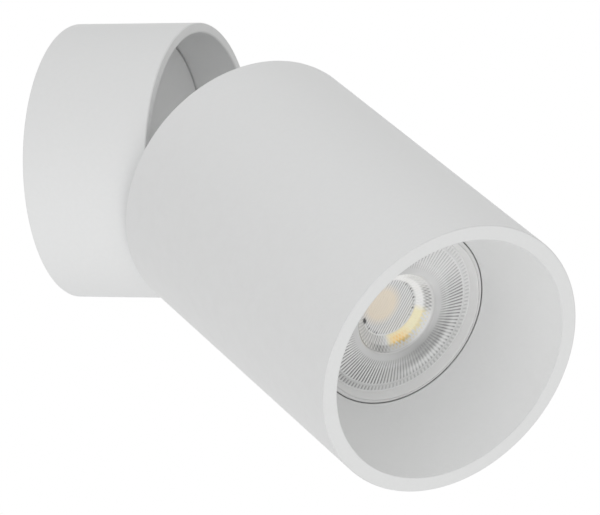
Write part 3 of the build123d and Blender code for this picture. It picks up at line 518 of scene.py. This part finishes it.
# ---- Terminal block ------------------------------------------------------------------------------
# Natural nylon moulding with three brass sleeves and six slotted clamping screws, where the supply
# cable meets the leads to the lamp. One screw holds it to the plate.


def moulding(name, colour, deeper, roughness, swell_scale=350.0, depth=0.00001, see_through=0.0):
    """Moulded or pressed stuff: two near colours in soft patches, with a fine skin."""
    material, nodes, links, shader = new_material(name, roughness)
    shader.inputs["Subsurface Weight"].default_value = see_through
    shader.inputs["Subsurface Radius"].default_value = (0.002, 0.002, 0.002)
    skin = placed(nodes, coat_grain, Swell_scale=swell_scale, Depth=depth)
    links.new(mixed(nodes, links, deeper, colour, skin.outputs["Mottle"]), shader.inputs["Base Color"])
    rough = in_range(nodes, links, skin.outputs["Mottle"], roughness - 0.06, roughness + 0.06)
    links.new(rough, shader.inputs["Roughness"])
    links.new(skin.outputs["Normal"], shader.inputs["Normal"])
    return material


nylon = moulding("nylon", (0.80, 0.79, 0.74, 1), (0.74, 0.73, 0.67, 1), 0.42)
brass = plated("brass", (0.60, 0.42, 0.16, 1), (0.80, 0.61, 0.27, 1), 0.28, (2200.0, 500.0, 2200.0))
terminal_steel = plated(
    "terminal_steel", (0.50, 0.50, 0.48, 1), (0.70, 0.69, 0.66, 1), 0.30, (1800.0, 1800.0, 600.0)
)
dress(nylon, "terminal_block")
dress(brass, "terminal_sleeves")
dress(terminal_steel, "terminal_screws")

# ---- Supply leads --------------------------------------------------------------------------------
# Two stranded leads in white silicone sleeves, clamped in the block and bent down into the knuckle's
# hollow spigot.

lead_sheath = moulding("lead_sheath", (0.78, 0.76, 0.71, 1), (0.70, 0.67, 0.61, 1), 0.50, 600.0, 0.00002)
dress(lead_sheath, "supply_leads")

# ---- Carrier disc --------------------------------------------------------------------------------
# Pressed disc that closes the base's cup and carries the knuckle. It is coated white with the ring and
# held by two countersunk cross screws; the stud pressed into its rear ends the swivel's turn.

dress(white_coat, "carrier_disc")
dress(zinc_screw, "base_screws", "pan_stop_stud")

# ---- Upper knuckle -------------------------------------------------------------------------------
# Cast half of the hollow knuckle, coated white. Its threaded spigot turns in the disc between two nylon
# rings, and a keyed washer, a wave washer and a thin nut hold it.

dress(white_coat, "pan_knuckle")
dress(nylon, "pan_thrust_washer", "pan_glide_washer")
dress(zinc_sheet, "pan_stop_washer", "pan_wave_washer")
dress(zinc_screw, "pan_locknut")

# ---- Cross screw of the knuckle ------------------------------------------------------------------
# Slotted screw through both cheeks, with a spring washer and a nut that set how stiffly the head tilts.
# A ring of pressed red-brown fibre between the cheeks gives the friction.

fibre = moulding("fibre", (0.30, 0.075, 0.045, 1), (0.20, 0.045, 0.030, 1), 0.66, 700.0, 0.00004)
dress(zinc_screw, "tilt_screw", "tilt_spring_washer", "tilt_nut")
dress(fibre, "tilt_friction_ring")

# ---- Lower knuckle and rear cap ------------------------------------------------------------------
# The other cast half of the knuckle, clamped by a thin nut to the coated disc that closes the head's
# rear. A spring ring in a groove of the head holds that disc; a nylon bush lines the spigot.

spring_steel = plated(
    "spring_steel", (0.10, 0.10, 0.11, 1), (0.22, 0.22, 0.23, 1), 0.40, (1600.0, 1600.0, 1600.0)
)
dress(white_coat, "tilt_knuckle", "rear_cap")
dress(spring_steel, "rear_circlip")
dress(zinc_screw, "knuckle_locknut")
dress(nylon, "lead_bush")

# ---- Head tube -----------------------------------------------------------------------------------
# Turned aluminium tube with an open skirt behind and a flat lip in front, where its bore narrows to
# meet the baffle flush. It has the same powder coat as the base, sprayed in the same batch.

twist = next(joint for joint in frame["joints"] if joint["name"] == "lamp_twist")
pivot = Vector(twist["pos_m"])
forwards = Vector(twist["axis"]).normalized()
seat_step = 0.0006
cap_clearance = 0.0003
lip_width = 0.004
lip_thickness = 0.002
rim_edge = 0.00025
flush_edge = 0.000005
collar_length = 0.003

head_rear, head_front, _, _ = span("head_shell", pivot, forwards)
_, cap_front, _, cap_radius = span("rear_cap", pivot, forwards)
baffle_rear, baffle_front, baffle_bore, _ = span("baffle", pivot, forwards)
skirt_bore = cap_radius + cap_clearance
lip_radius = body_radius - lip_width
cone_slope = (lip_radius - baffle_bore) / (head_front - baffle_rear - collar_length)
lip_rear_radius = lip_radius - cone_slope * lip_thickness
head_outline, head_arcs = rounded(
    [
        (skirt_bore, head_rear, coat_edge),
        (body_radius, head_rear, coat_edge),
        (body_radius, head_front, rim_edge),
        (lip_radius, head_front, rim_edge),
        (lip_rear_radius, head_front - lip_thickness, flush_edge),
        (skirt_bore - seat_step, head_front - lip_thickness, turned_edge),
        (skirt_bore - seat_step, cap_front, fine_edge),
        (skirt_bore, cap_front, fine_edge),
    ]
)
head_tube = turned("head_tube", head_outline, head_arcs, pivot, forwards)
head_tube.data.materials.append(white_coat)
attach(head_tube, "head")
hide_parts("head_shell")

# ---- Lampholder ----------------------------------------------------------------------------------
# Glazed steatite disc with two keyholes, hung on a bent zinc plated strap by two screws. Sprung brass
# contacts lie under the keyholes, and two sleeved leads run back into the knuckle.

ceramic = moulding("ceramic", (0.80, 0.775, 0.71, 1), (0.74, 0.71, 0.64, 1), 0.22, 260.0, 0.00002)
dress(zinc_sheet, "holder_bridge")
dress(zinc_screw, "bridge_screws", "holder_screws")
dress(ceramic, "lampholder")
dress(brass, "socket_contacts")
dress(lead_sheath, "holder_leads")

# ---- Baffle --------------------------------------------------------------------------------------
# Spun aluminium funnel, coated white like the tube, that leads from the lip down to the lamp's edge.
# It ends in a thin lip close round the lamp's rim, with a turned relief behind it and a short collar.

baffle_wall = 0.0012
baffle_bend = 0.001
collar_edge = 0.0003
rim_lip_reach = 0.00014
rim_lip_height = 0.0051
rim_lip_thickness = 0.0003
rim_lip_edge = 0.00006
rim_relief = 0.0007
rim_lip_radius = baffle_bore - rim_lip_reach
rim_lip_front = baffle_rear + rim_lip_height
baffle_outline, baffle_arcs = rounded(
    [
        (lip_rear_radius, baffle_front, flush_edge),
        (lip_rear_radius + baffle_wall, baffle_front, turned_edge),
        (baffle_bore + baffle_wall, baffle_rear + collar_length, baffle_bend),
        (baffle_bore + baffle_wall, baffle_rear, collar_edge),
        (baffle_bore, baffle_rear, fine_edge),
        (baffle_bore, baffle_rear + collar_length, fine_edge),
        (baffle_bore + rim_relief, baffle_rear + collar_length, fine_edge),
        (baffle_bore + rim_relief, rim_lip_front - rim_lip_thickness, fine_edge),
        (rim_lip_radius, rim_lip_front - rim_lip_thickness, sharp_edge),
        (rim_lip_radius, rim_lip_front, rim_lip_edge),
    ]
)
baffle_cone = turned("baffle_cone", baffle_outline, baffle_arcs, pivot, forwards)
baffle_cone.data.materials.append(white_coat)
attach(baffle_cone, "head")
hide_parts("baffle")
dress(spring_steel, "baffle_snap_ring")

# ---- Lamp body -----------------------------------------------------------------------------------
# Plastic-clad aluminium housing of the twist-lock lamp. Its bevelled rim stands in the baffle's collar
# with a thin gap all round, and its hollow holds the lens, the light source and the driver.

lamp_foot, lamp_front, _, lamp_radius = span("lamp_housing", pivot, forwards)
_, _, _, lens_radius = span("lamp_lens", pivot, forwards)
board_rear, board_face, _, board_radius = span("lamp_led_board", pivot, forwards)
bay_radius = 0.0095
neck_radius = 0.0124
board_clearance = 0.0001
lens_clearance = 0.00002
lens_seat = 0.0046
lens_ledge = 0.0015
rim_recess = 0.0021
rim_flare = 0.0012
rim_height = 0.009
bevel_width = 0.0010
bevel_drop = 0.0005
bevel_edge = 0.0003
seat_edge = 0.00001
flare_edge = 0.0004
foot_edge = 0.0008
flank_edge = 0.001
flank_reach = 0.0104
waist_radius = 0.016
waist_drop = 0.002

# The flank is a cubic Bezier curve from the rim's foot to the neck, pulled straight back by its second
# point and in towards the neck by its third. A point on it is the sum over k, from 0 to 3, of
# (3 choose k) * (1 - share)^(3 - k) * share^k * point k.

rim_foot = lamp_front - bevel_drop - rim_height
flank_points = np.array(
    [
        (lamp_radius, rim_foot),
        (lamp_radius, rim_foot - flank_reach),
        (waist_radius, board_rear - waist_drop),
        (neck_radius, lamp_foot),
    ]
)
flank_share = np.linspace(0, 1, 9)[1:-1, None]
flank = sum(
    math.comb(3, k) * (1 - flank_share) ** (3 - k) * flank_share**k * flank_points[k] for k in range(4)
)
lamp_outline, lamp_arcs = rounded(
    [
        (bay_radius, lamp_foot, fine_edge),
        (bay_radius, board_rear, fine_edge),
        (board_radius + board_clearance, board_rear, fine_edge),
        (board_radius + board_clearance, board_face, fine_edge),
        (lens_radius - lens_ledge, lamp_front - lens_seat, fine_edge),
        (lens_radius + lens_clearance, lamp_front - lens_seat, seat_edge),
        (lens_radius + lens_clearance, lamp_front - rim_recess, seat_edge),
        (lens_radius + rim_flare, lamp_front, flare_edge),
        (lamp_radius - bevel_width, lamp_front, bevel_edge),
        (lamp_radius, lamp_front - bevel_drop, bevel_edge),
        (lamp_radius, rim_foot, foot_edge),
        *[(radius, height, flank_edge) for radius, height in flank],
        (neck_radius, lamp_foot, bevel_edge),
    ]
)
lamp_body = turned("lamp_body", lamp_outline, lamp_arcs, pivot, forwards)
lamp_white = powder_coat("lamp_white", (0.83, 0.83, 0.825, 1.0), swell_scale=500.0, wear=0.1)
lamp_body.data.materials.append(lamp_white)
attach(lamp_body, "lamp")
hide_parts("lamp_housing")

# ---- Light source --------------------------------------------------------------------------------
# Round light source whose yellow phosphor lies in clear resin, on an aluminium disc with a white solder
# mask. The lens's collecting cone stands over it.

phosphor, nodes, links, shader = new_material("phosphor", 0.18)
shader.inputs["Coat Weight"].default_value = 0.6
resin = placed(nodes, coat_grain, Swell_scale=1400.0, Grain_scale=5200.0, Depth=0.00001)
yellow = mixed(nodes, links, (0.80, 0.46, 0.06, 1), (0.92, 0.66, 0.16, 1), resin.outputs["Mottle"])
links.new(yellow, shader.inputs["Base Color"])
links.new(resin.outputs["Normal"], shader.inputs["Normal"])
board = moulding("board", (0.84, 0.84, 0.81, 1), (0.78, 0.78, 0.75, 1), 0.32, 500.0)
dress(phosphor, "lamp_led")
dress(board, "lamp_led_board")

# ---- Lens ----------------------------------------------------------------------------------------
# One clear polycarbonate moulding: a plain rim, two rings of fine radial ribs, a sunken facetted hub
# with a finely striped eye, and a collecting cone behind that reaches down to the light source. Its light
# and shade, the light source seen through it and a faint glow are painted into its colour.

rib_count = 124
rib_depth = 0.00022
rib_inner, rib_outer = 0.0131, 0.0204
short_rib_inner, short_rib_outer = 0.0208, 0.0223
wall_inner, wall_outer = 0.0079, 0.0113
facet_columns = 62
facet_row_pitch = 0.00125
facet_depth = 0.00010
eye_radius = 0.0078
stripe_radius = 0.0070
stripe_pitch = 0.00074
stripe_depth = 0.00004
stripe_bearing = math.radians(221.0)
front_depth = 0.0062


def lens_surface(name, profile, turns, origin, axis, relief, marks):
    """Closed moulding from a (radius, height) profile that starts and ends on the axis.

    A point is origin + (height + relief(radius, turn)) * axis + radius * outwards(turn), where relief is
    zero behind the rim. The two ends are single points that close the surface.
    """
    radius, height = profile.T
    side = Vector((1.0, 0.0, 0.0))
    cross = axis.cross(side)
    turn = np.linspace(0, 2 * math.pi, turns, endpoint=False)
    outwards = np.cos(turn)[:, None] * np.array(side) + np.sin(turn)[:, None] * np.array(cross)
    grid = (radius[:, None], turn[None], height[:, None])
    place = np.array(origin) + (height[:, None] + relief(*grid))[..., None] * np.array(axis)
    place = place + radius[:, None, None] * outwards[None]
    place = np.concatenate([place[1:-1].reshape(-1, 3), place[:1, 0], place[-1:, 0]])
    ring, step = np.meshgrid(np.arange(len(radius) - 3), np.arange(turns), indexing="ij")
    next_step = (step + 1) % turns
    quads = np.stack(
        [
            ring * turns + next_step,
            ring * turns + step,
            (ring + 1) * turns + step,
            (ring + 1) * turns + next_step,
        ],
        axis=-1,
    ).reshape(-1, 4)
    around = np.arange(turns)
    beside = (around + 1) % turns
    last_ring = (len(radius) - 3) * turns
    first = last_ring + turns
    fan_first = np.stack([np.full(turns, first), around, beside], axis=-1)
    fan_last = np.stack([np.full(turns, first + 1), last_ring + beside, last_ring + around], axis=-1)
    values = {}
    for mark, value in marks(*grid).items():
        value = np.broadcast_to(value, (len(radius), turns))
        values[mark] = np.concatenate([value[1:-1].ravel(), value[:1, 0], value[-1:, 0]])
    return add_mesh(name, place, quads.tolist() + fan_first.tolist() + fan_last.tolist(), **values)


def inside(radius, high, soft):
    """1 inside a radius, falling to 0 over a soft border."""
    return np.clip((high - radius) / soft, 0, 1)


def between(radius, low, high, soft, outer_soft=None):
    """1 between two radii, falling to 0 over a soft border at each."""
    outer_soft = outer_soft or soft
    return np.clip((radius - low) / soft, 0, 1) * inside(radius, high, outer_soft)


def near_bearing(turn, bearing, half_width, soft):
    """1 within an angle of a bearing, falling to 0 over a soft border inside it. All three are degrees."""
    away = np.abs((turn - math.radians(bearing) + math.pi) % (2 * math.pi) - math.pi)
    return np.clip((math.radians(half_width) - away) / math.radians(soft), 0, 1)


def lens_front_side(height):
    """1 on the lens's front, 0 behind its rim."""
    return height > lamp_front - front_depth


def rib_valley(turn):
    """1 along the middle of a valley between two ribs, 0 on their crests."""
    return 1 - np.abs(np.sin(0.5 * rib_count * turn))


def facet_wave(radius, turn):
    """Staggered cells on the hub's wall: product of a wave outwards and a wave round, from -1 to 1."""
    return np.sin((radius - wall_inner) * 2 * math.pi / facet_row_pitch) * np.sin(facet_columns * turn)


def stripe_wave(radius, turn):
    """Parallel stripes across the eye, from -1 to 1."""
    return np.sin(radius * np.cos(turn - stripe_bearing) * 2 * math.pi / stripe_pitch)


def lens_relief(radius, turn, height):
    """Height added to the lens's front: ribs, short ribs, facets and stripes, each inside its own ring."""
    rib = 0.5 - rib_valley(turn)
    long_ribs = between(radius, rib_inner, rib_outer, 0.0014, 0.0002) * rib * rib_depth
    short_ribs = between(radius, short_rib_inner, short_rib_outer, 0.0002) * rib * rib_depth
    facets = between(radius, wall_inner, wall_outer, 0.0003) * facet_wave(radius, turn) * facet_depth
    stripes = inside(radius, stripe_radius, 0.0003) * stripe_wave(radius, turn) * stripe_depth
    return lens_front_side(height) * (long_ribs + short_ribs + facets + stripes)


# Sectors of the lens's front whose painted light and shade, and marks, differ from the rest of it: the
# bearing of the middle, half the width and the soft border, in degrees.

dull_ribs = (186.0, 42.0, 31.5)
deep_ribs = (92.0, 42.0, 28.6)
crisp_ribs = (122.0, 32.0, 17.2)
bare_ribs = (96.0, 25.0, 17.2)
bright_ribs = (300.0, 41.0, 28.6)
dark_patch_ribs = (203.0, 43.0, 31.5)
low_half = (165.0, 95.0, 34.4)
woven_wall = (112.0, 50.0, 22.9)
scaled_wall = (258.0, 34.0, 17.2)
low_wall = (160.0, 50.0, 28.6)
bright_wall = (255.0, 105.0, 17.2)
upper_wall = (345.0, 32.0, 17.2)
upper_dots = (263.0, 52.0, 17.2)
lower_dots = (112.0, 38.0, 17.2)
dark_speck_sector = (88.0, 8.0, 4.6)
amber_wall = (200.0, 47.0, 12.6)
gold_wall = (176.0, 27.0, 22.9)

# Rings of the front that carry a mark of their own: inner and outer radius.

dark_patch_ring = (wall_outer, 0.0178)
pale_ring = (0.0174, 0.0198)
scaled_ring = (0.0092, wall_outer)
low_wall_ring = (0.0096, wall_outer)
speckled_ring = (0.0096, 0.0109)
gold_ring = (0.0078, 0.0110)
inner_glow_ring = (wall_inner, 0.0097)
upper_glow_ring = (0.0090, wall_outer)
dot_ring = (0.0070, 0.0080)
dark_speck_ring = (0.0069, 0.0082)

amber_edge = 0.0101
amber_ragged = 0.0004
source_radius = 0.0062
source_shift = 0.0026
source_fade = 0.0024
dot_count = 46


def fan_shade(radius, turn):
    """Painted shade of the front outside the hub, where 0 is clear and 1 is darkest. It stands in for the
    light and shade that the clear ribs catch.

    On the long ribs it is a grey ground plus the valleys raised to a power, which narrows them. Beside
    the hub a dark patch of painted shade covers them, with a paler band of painted light outside it. Then
    come the ring between the two fans, the border outside them, the short ribs, the plain ring inside them
    and the hub's outline. Each weight says how much darker or paler a sector makes its ring.
    """
    dull = near_bearing(turn, *dull_ribs)
    deep = near_bearing(turn, *deep_ribs)
    crisp = near_bearing(turn, *crisp_ribs)
    bare = near_bearing(turn, *bare_ribs)
    bright = near_bearing(turn, *bright_ribs)
    dark_patch_sector = near_bearing(turn, *dark_patch_ribs)
    low = near_bearing(turn, *low_half)
    dark_patch = dark_patch_sector * between(radius, *dark_patch_ring, 0.0035, 0.0015)
    pale = dark_patch_sector * between(radius, *pale_ring, 0.0010, 0.0008)
    valley = rib_valley(turn) ** (1.1 - 0.10 * crisp + 0.9 * bare)
    ground = 0.13 + 0.08 * dull - 0.13 * np.clip(bare + crisp + bright, 0, 1)
    strength = 0.78 - 0.32 * dull + 0.10 * deep + 0.40 * crisp - 0.36 * bright - 0.35 * dark_patch
    long_fan = between(radius, rib_inner, rib_outer, 0.0030, 0.0002) ** 0.6
    gap = between(radius, rib_outer - 0.0001, short_rib_inner + 0.0001, 0.0001)
    border = between(radius, rib_outer, lens_radius, 0.0002)
    short_fan = between(radius, short_rib_inner, short_rib_outer, 0.0002)
    plain = between(radius, wall_outer - 0.0002, rib_inner + 0.0020, 0.0003, 0.0020)
    outline = between(radius, wall_outer - 0.0002, wall_outer + 0.0001, 0.0001)
    return (
        long_fan * (ground + valley * strength) * (1 - 0.62 * pale)
        + 0.35 * dark_patch
        + (0.08 + 0.14 * low) * gap
        + (0.10 + 0.12 * deep) * border
        + short_fan * (0.11 * low + valley * (0.30 + 0.25 * crisp - 0.10 * bright))
        + (0.32 + 0.10 * dull - 0.08 * deep - 0.12 * bright) * plain
        + 0.55 * outline * deep
    )


def wall_marks(radius, turn):
    """Painted shade, amber, gold and painted glow of the hub's wall.

    The facets show as dark cells of painted shade, most in two sectors and least where the light source is
    seen, and one further sector gets painted shade over its outer part. Where the source is seen the wall is
    amber out to a ragged edge, with amber cells beyond it, and turns to gold at one side: a painted image
    of the source through the wall. The painted glow is a faint emission on the wall's inner half all round,
    and on its whole width at the top.
    """
    cell = 0.5 - 0.5 * facet_wave(radius, turn)
    source = near_bearing(turn, *amber_wall)
    woven = near_bearing(turn, *woven_wall)
    scaled = near_bearing(turn, *scaled_wall) * between(radius, *scaled_ring, 0.0006)
    low = near_bearing(turn, *low_wall) * between(radius, *low_wall_ring, 0.0004, 0.0001)
    wall = between(radius, wall_inner, wall_outer, 0.0002)
    shade = wall * cell * (0.08 + 0.50 * woven + 0.60 * scaled) * (1 - source) + 0.28 * low
    ragged = amber_edge + amber_ragged * np.sin(29 * turn) * np.sin(17 * turn + 1.0)
    amber = source * between(radius, wall_inner - 0.0001, ragged, 0.0002, 0.0004)
    speckle = np.clip(3 * cell - 1.6, 0, 1) * between(radius, *speckled_ring, 0.0003)
    amber = np.maximum(amber, 0.8 * source * speckle)
    gold = near_bearing(turn, *gold_wall) * (0.5 + 0.5 * cell) * between(radius, *gold_ring, 0.0010)
    inner_painted_glow = near_bearing(turn, *bright_wall) * between(radius, *inner_glow_ring, 0.0002, 0.0004)
    upper_painted_glow = near_bearing(turn, *upper_wall) * between(radius, *upper_glow_ring, 0.0003, 0.0001)
    return shade, amber, gold * amber, np.maximum(inner_painted_glow, upper_painted_glow)


def eye_marks(radius, turn):
    """Painted shade and cream of the eye.

    Cream is a soft round patch beside the middle, a painted image of the light source seen through the
    eye, and the stripes show as dark lines of painted shade outside it. A row of dots of uneven darkness
    runs along two parts of the eye's edge, and there is one dark speck there.
    """
    across = radius * np.cos(turn - stripe_bearing)
    beside = radius * np.sin(turn - stripe_bearing)
    eye = inside(radius, eye_radius, 0.0002)
    cream = eye * inside(np.hypot(across + source_shift, beside), source_radius, source_fade)
    stripe = 0.5 - 0.5 * stripe_wave(radius, turn)
    dots = between(radius, *dot_ring, 0.0003) * (0.5 + 0.5 * np.sin(dot_count * turn))
    dots = dots * (near_bearing(turn, *upper_dots) + near_bearing(turn, *lower_dots))
    dark_speck = near_bearing(turn, *dark_speck_sector) * between(radius, *dark_speck_ring, 0.0003)
    shade = eye * stripe**1.5 * (0.05 + 0.46 * (1 - cream))
    return shade + 0.55 * dots * (0.6 + 0.4 * np.sin(17 * turn)) + 0.85 * dark_speck, cream


def lens_marks(radius, turn, height):
    """Masks on the lens's front: shade, painted shade on the sides of ribs, cells and stripes; cream, a
    painted image of the source through the eye; amber and gold, its painted image through the hub's wall;
    and the painted glow, a faint white emission on the hub's wall."""
    front = lens_front_side(height)
    wall_shade, amber, gold, painted_glow = wall_marks(radius, turn)
    eye_shade, cream = eye_marks(radius, turn)
    shade = np.clip(fan_shade(radius, turn) + wall_shade + eye_shade, 0, 1)
    marks = {"shade": shade, "cream": cream, "amber": amber, "gold": gold, "painted_glow": painted_glow}
    return {name: mark * front for name, mark in marks.items()}


# The outline runs from the middle of the eye over the front, round the rim and back along the collecting
# cone. Each station is a radius, a height from the lamp's front, and the grid steps to the next one.

lens_stations = [
    (0.0, -0.0055, 50),
    (0.0077, -0.0055, 2),
    (wall_inner, -0.0053, 28),
    (wall_outer, -0.0017, 2),
    (0.0117, -0.0012, 3),
    (0.0130, -0.0011, 18),
    (rib_outer, -0.0019, 2),
    (short_rib_inner, -0.0020, 5),
    (short_rib_outer, -0.0021, 1),
    (0.0225, -0.00205, 1),
    (0.0225, -lens_seat, 1),
    (0.0209, -lens_seat, 6),
    (0.0075, -0.0191, 1),
    (0.0055, -0.0191, 2),
    (0.0045, -0.0146, 2),
    (0.0, -0.0136, 1),
]
profile = [
    np.linspace(start[:2], end[:2], start[2], endpoint=False)
    for start, end in zip(lens_stations, lens_stations[1:])
]
profile = np.concatenate(profile + [np.array([lens_stations[-1][:2]])])
profile[:, 1] += lamp_front
lens = lens_surface("lens", profile, 6 * rib_count, pivot, forwards, lens_relief, lens_marks)

# Nearly opaque near-white moulding, with painted shade and painted images of the light source over it.
clear_tint = (0.96, 0.96, 0.96, 1)
cream_tint = (0.98, 0.88, 0.74, 1)
amber_tint = (1.0, 0.91, 0.58, 1)
gold_tint = (1.0, 0.62, 0.14, 1)
painted_shade_tint = (0.10, 0.10, 0.10, 1)
painted_glow_strength = 0.13

lens_material, nodes, links, shader = new_material("lens_clear", 0.10)
shader.inputs["IOR"].default_value = 1.58
shader.inputs["Transmission Weight"].default_value = 0.05
tint = clear_tint
for mark, mark_tint in (
    ("cream", cream_tint),
    ("amber", amber_tint),
    ("gold", gold_tint),
    ("shade", painted_shade_tint),
):
    tint = mixed(nodes, links, tint, mark_tint, masked(nodes, mark))
links.new(tint, shader.inputs["Base Color"])
# A painted glow: where marked, the hub's wall gives off a faint white light, though the lamp is not lit.
painted_glow_colour = mixed(nodes, links, (0.0, 0.0, 0.0, 1), (1.0, 1.0, 1.0, 1), masked(nodes, "painted_glow"))
links.new(painted_glow_colour, shader.inputs["Emission Color"])
shader.inputs["Emission Strength"].default_value = painted_glow_strength
lens.data.materials.append(lens_material)
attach(lens, "lamp")
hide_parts("lamp_lens")

# ---- Lamp neck, pins and driver ------------------------------------------------------------------
# Moulded neck plugged into the housing, with two nickel plated mushroom pins that lock behind the
# holder's keyholes, and the small driver board upright inside.

pin_plate = plated(
    "pin_plate", (0.55, 0.53, 0.49, 1), (0.74, 0.72, 0.67, 1), 0.24, (1500.0, 1500.0, 1500.0)
)
driver_board = moulding("driver_board", (0.03, 0.20, 0.09, 1), (0.02, 0.13, 0.06, 1), 0.38, 300.0)
dress(lamp_white, "lamp_cap")
dress(pin_plate, "lamp_pins")
dress(driver_board, "lamp_driver")
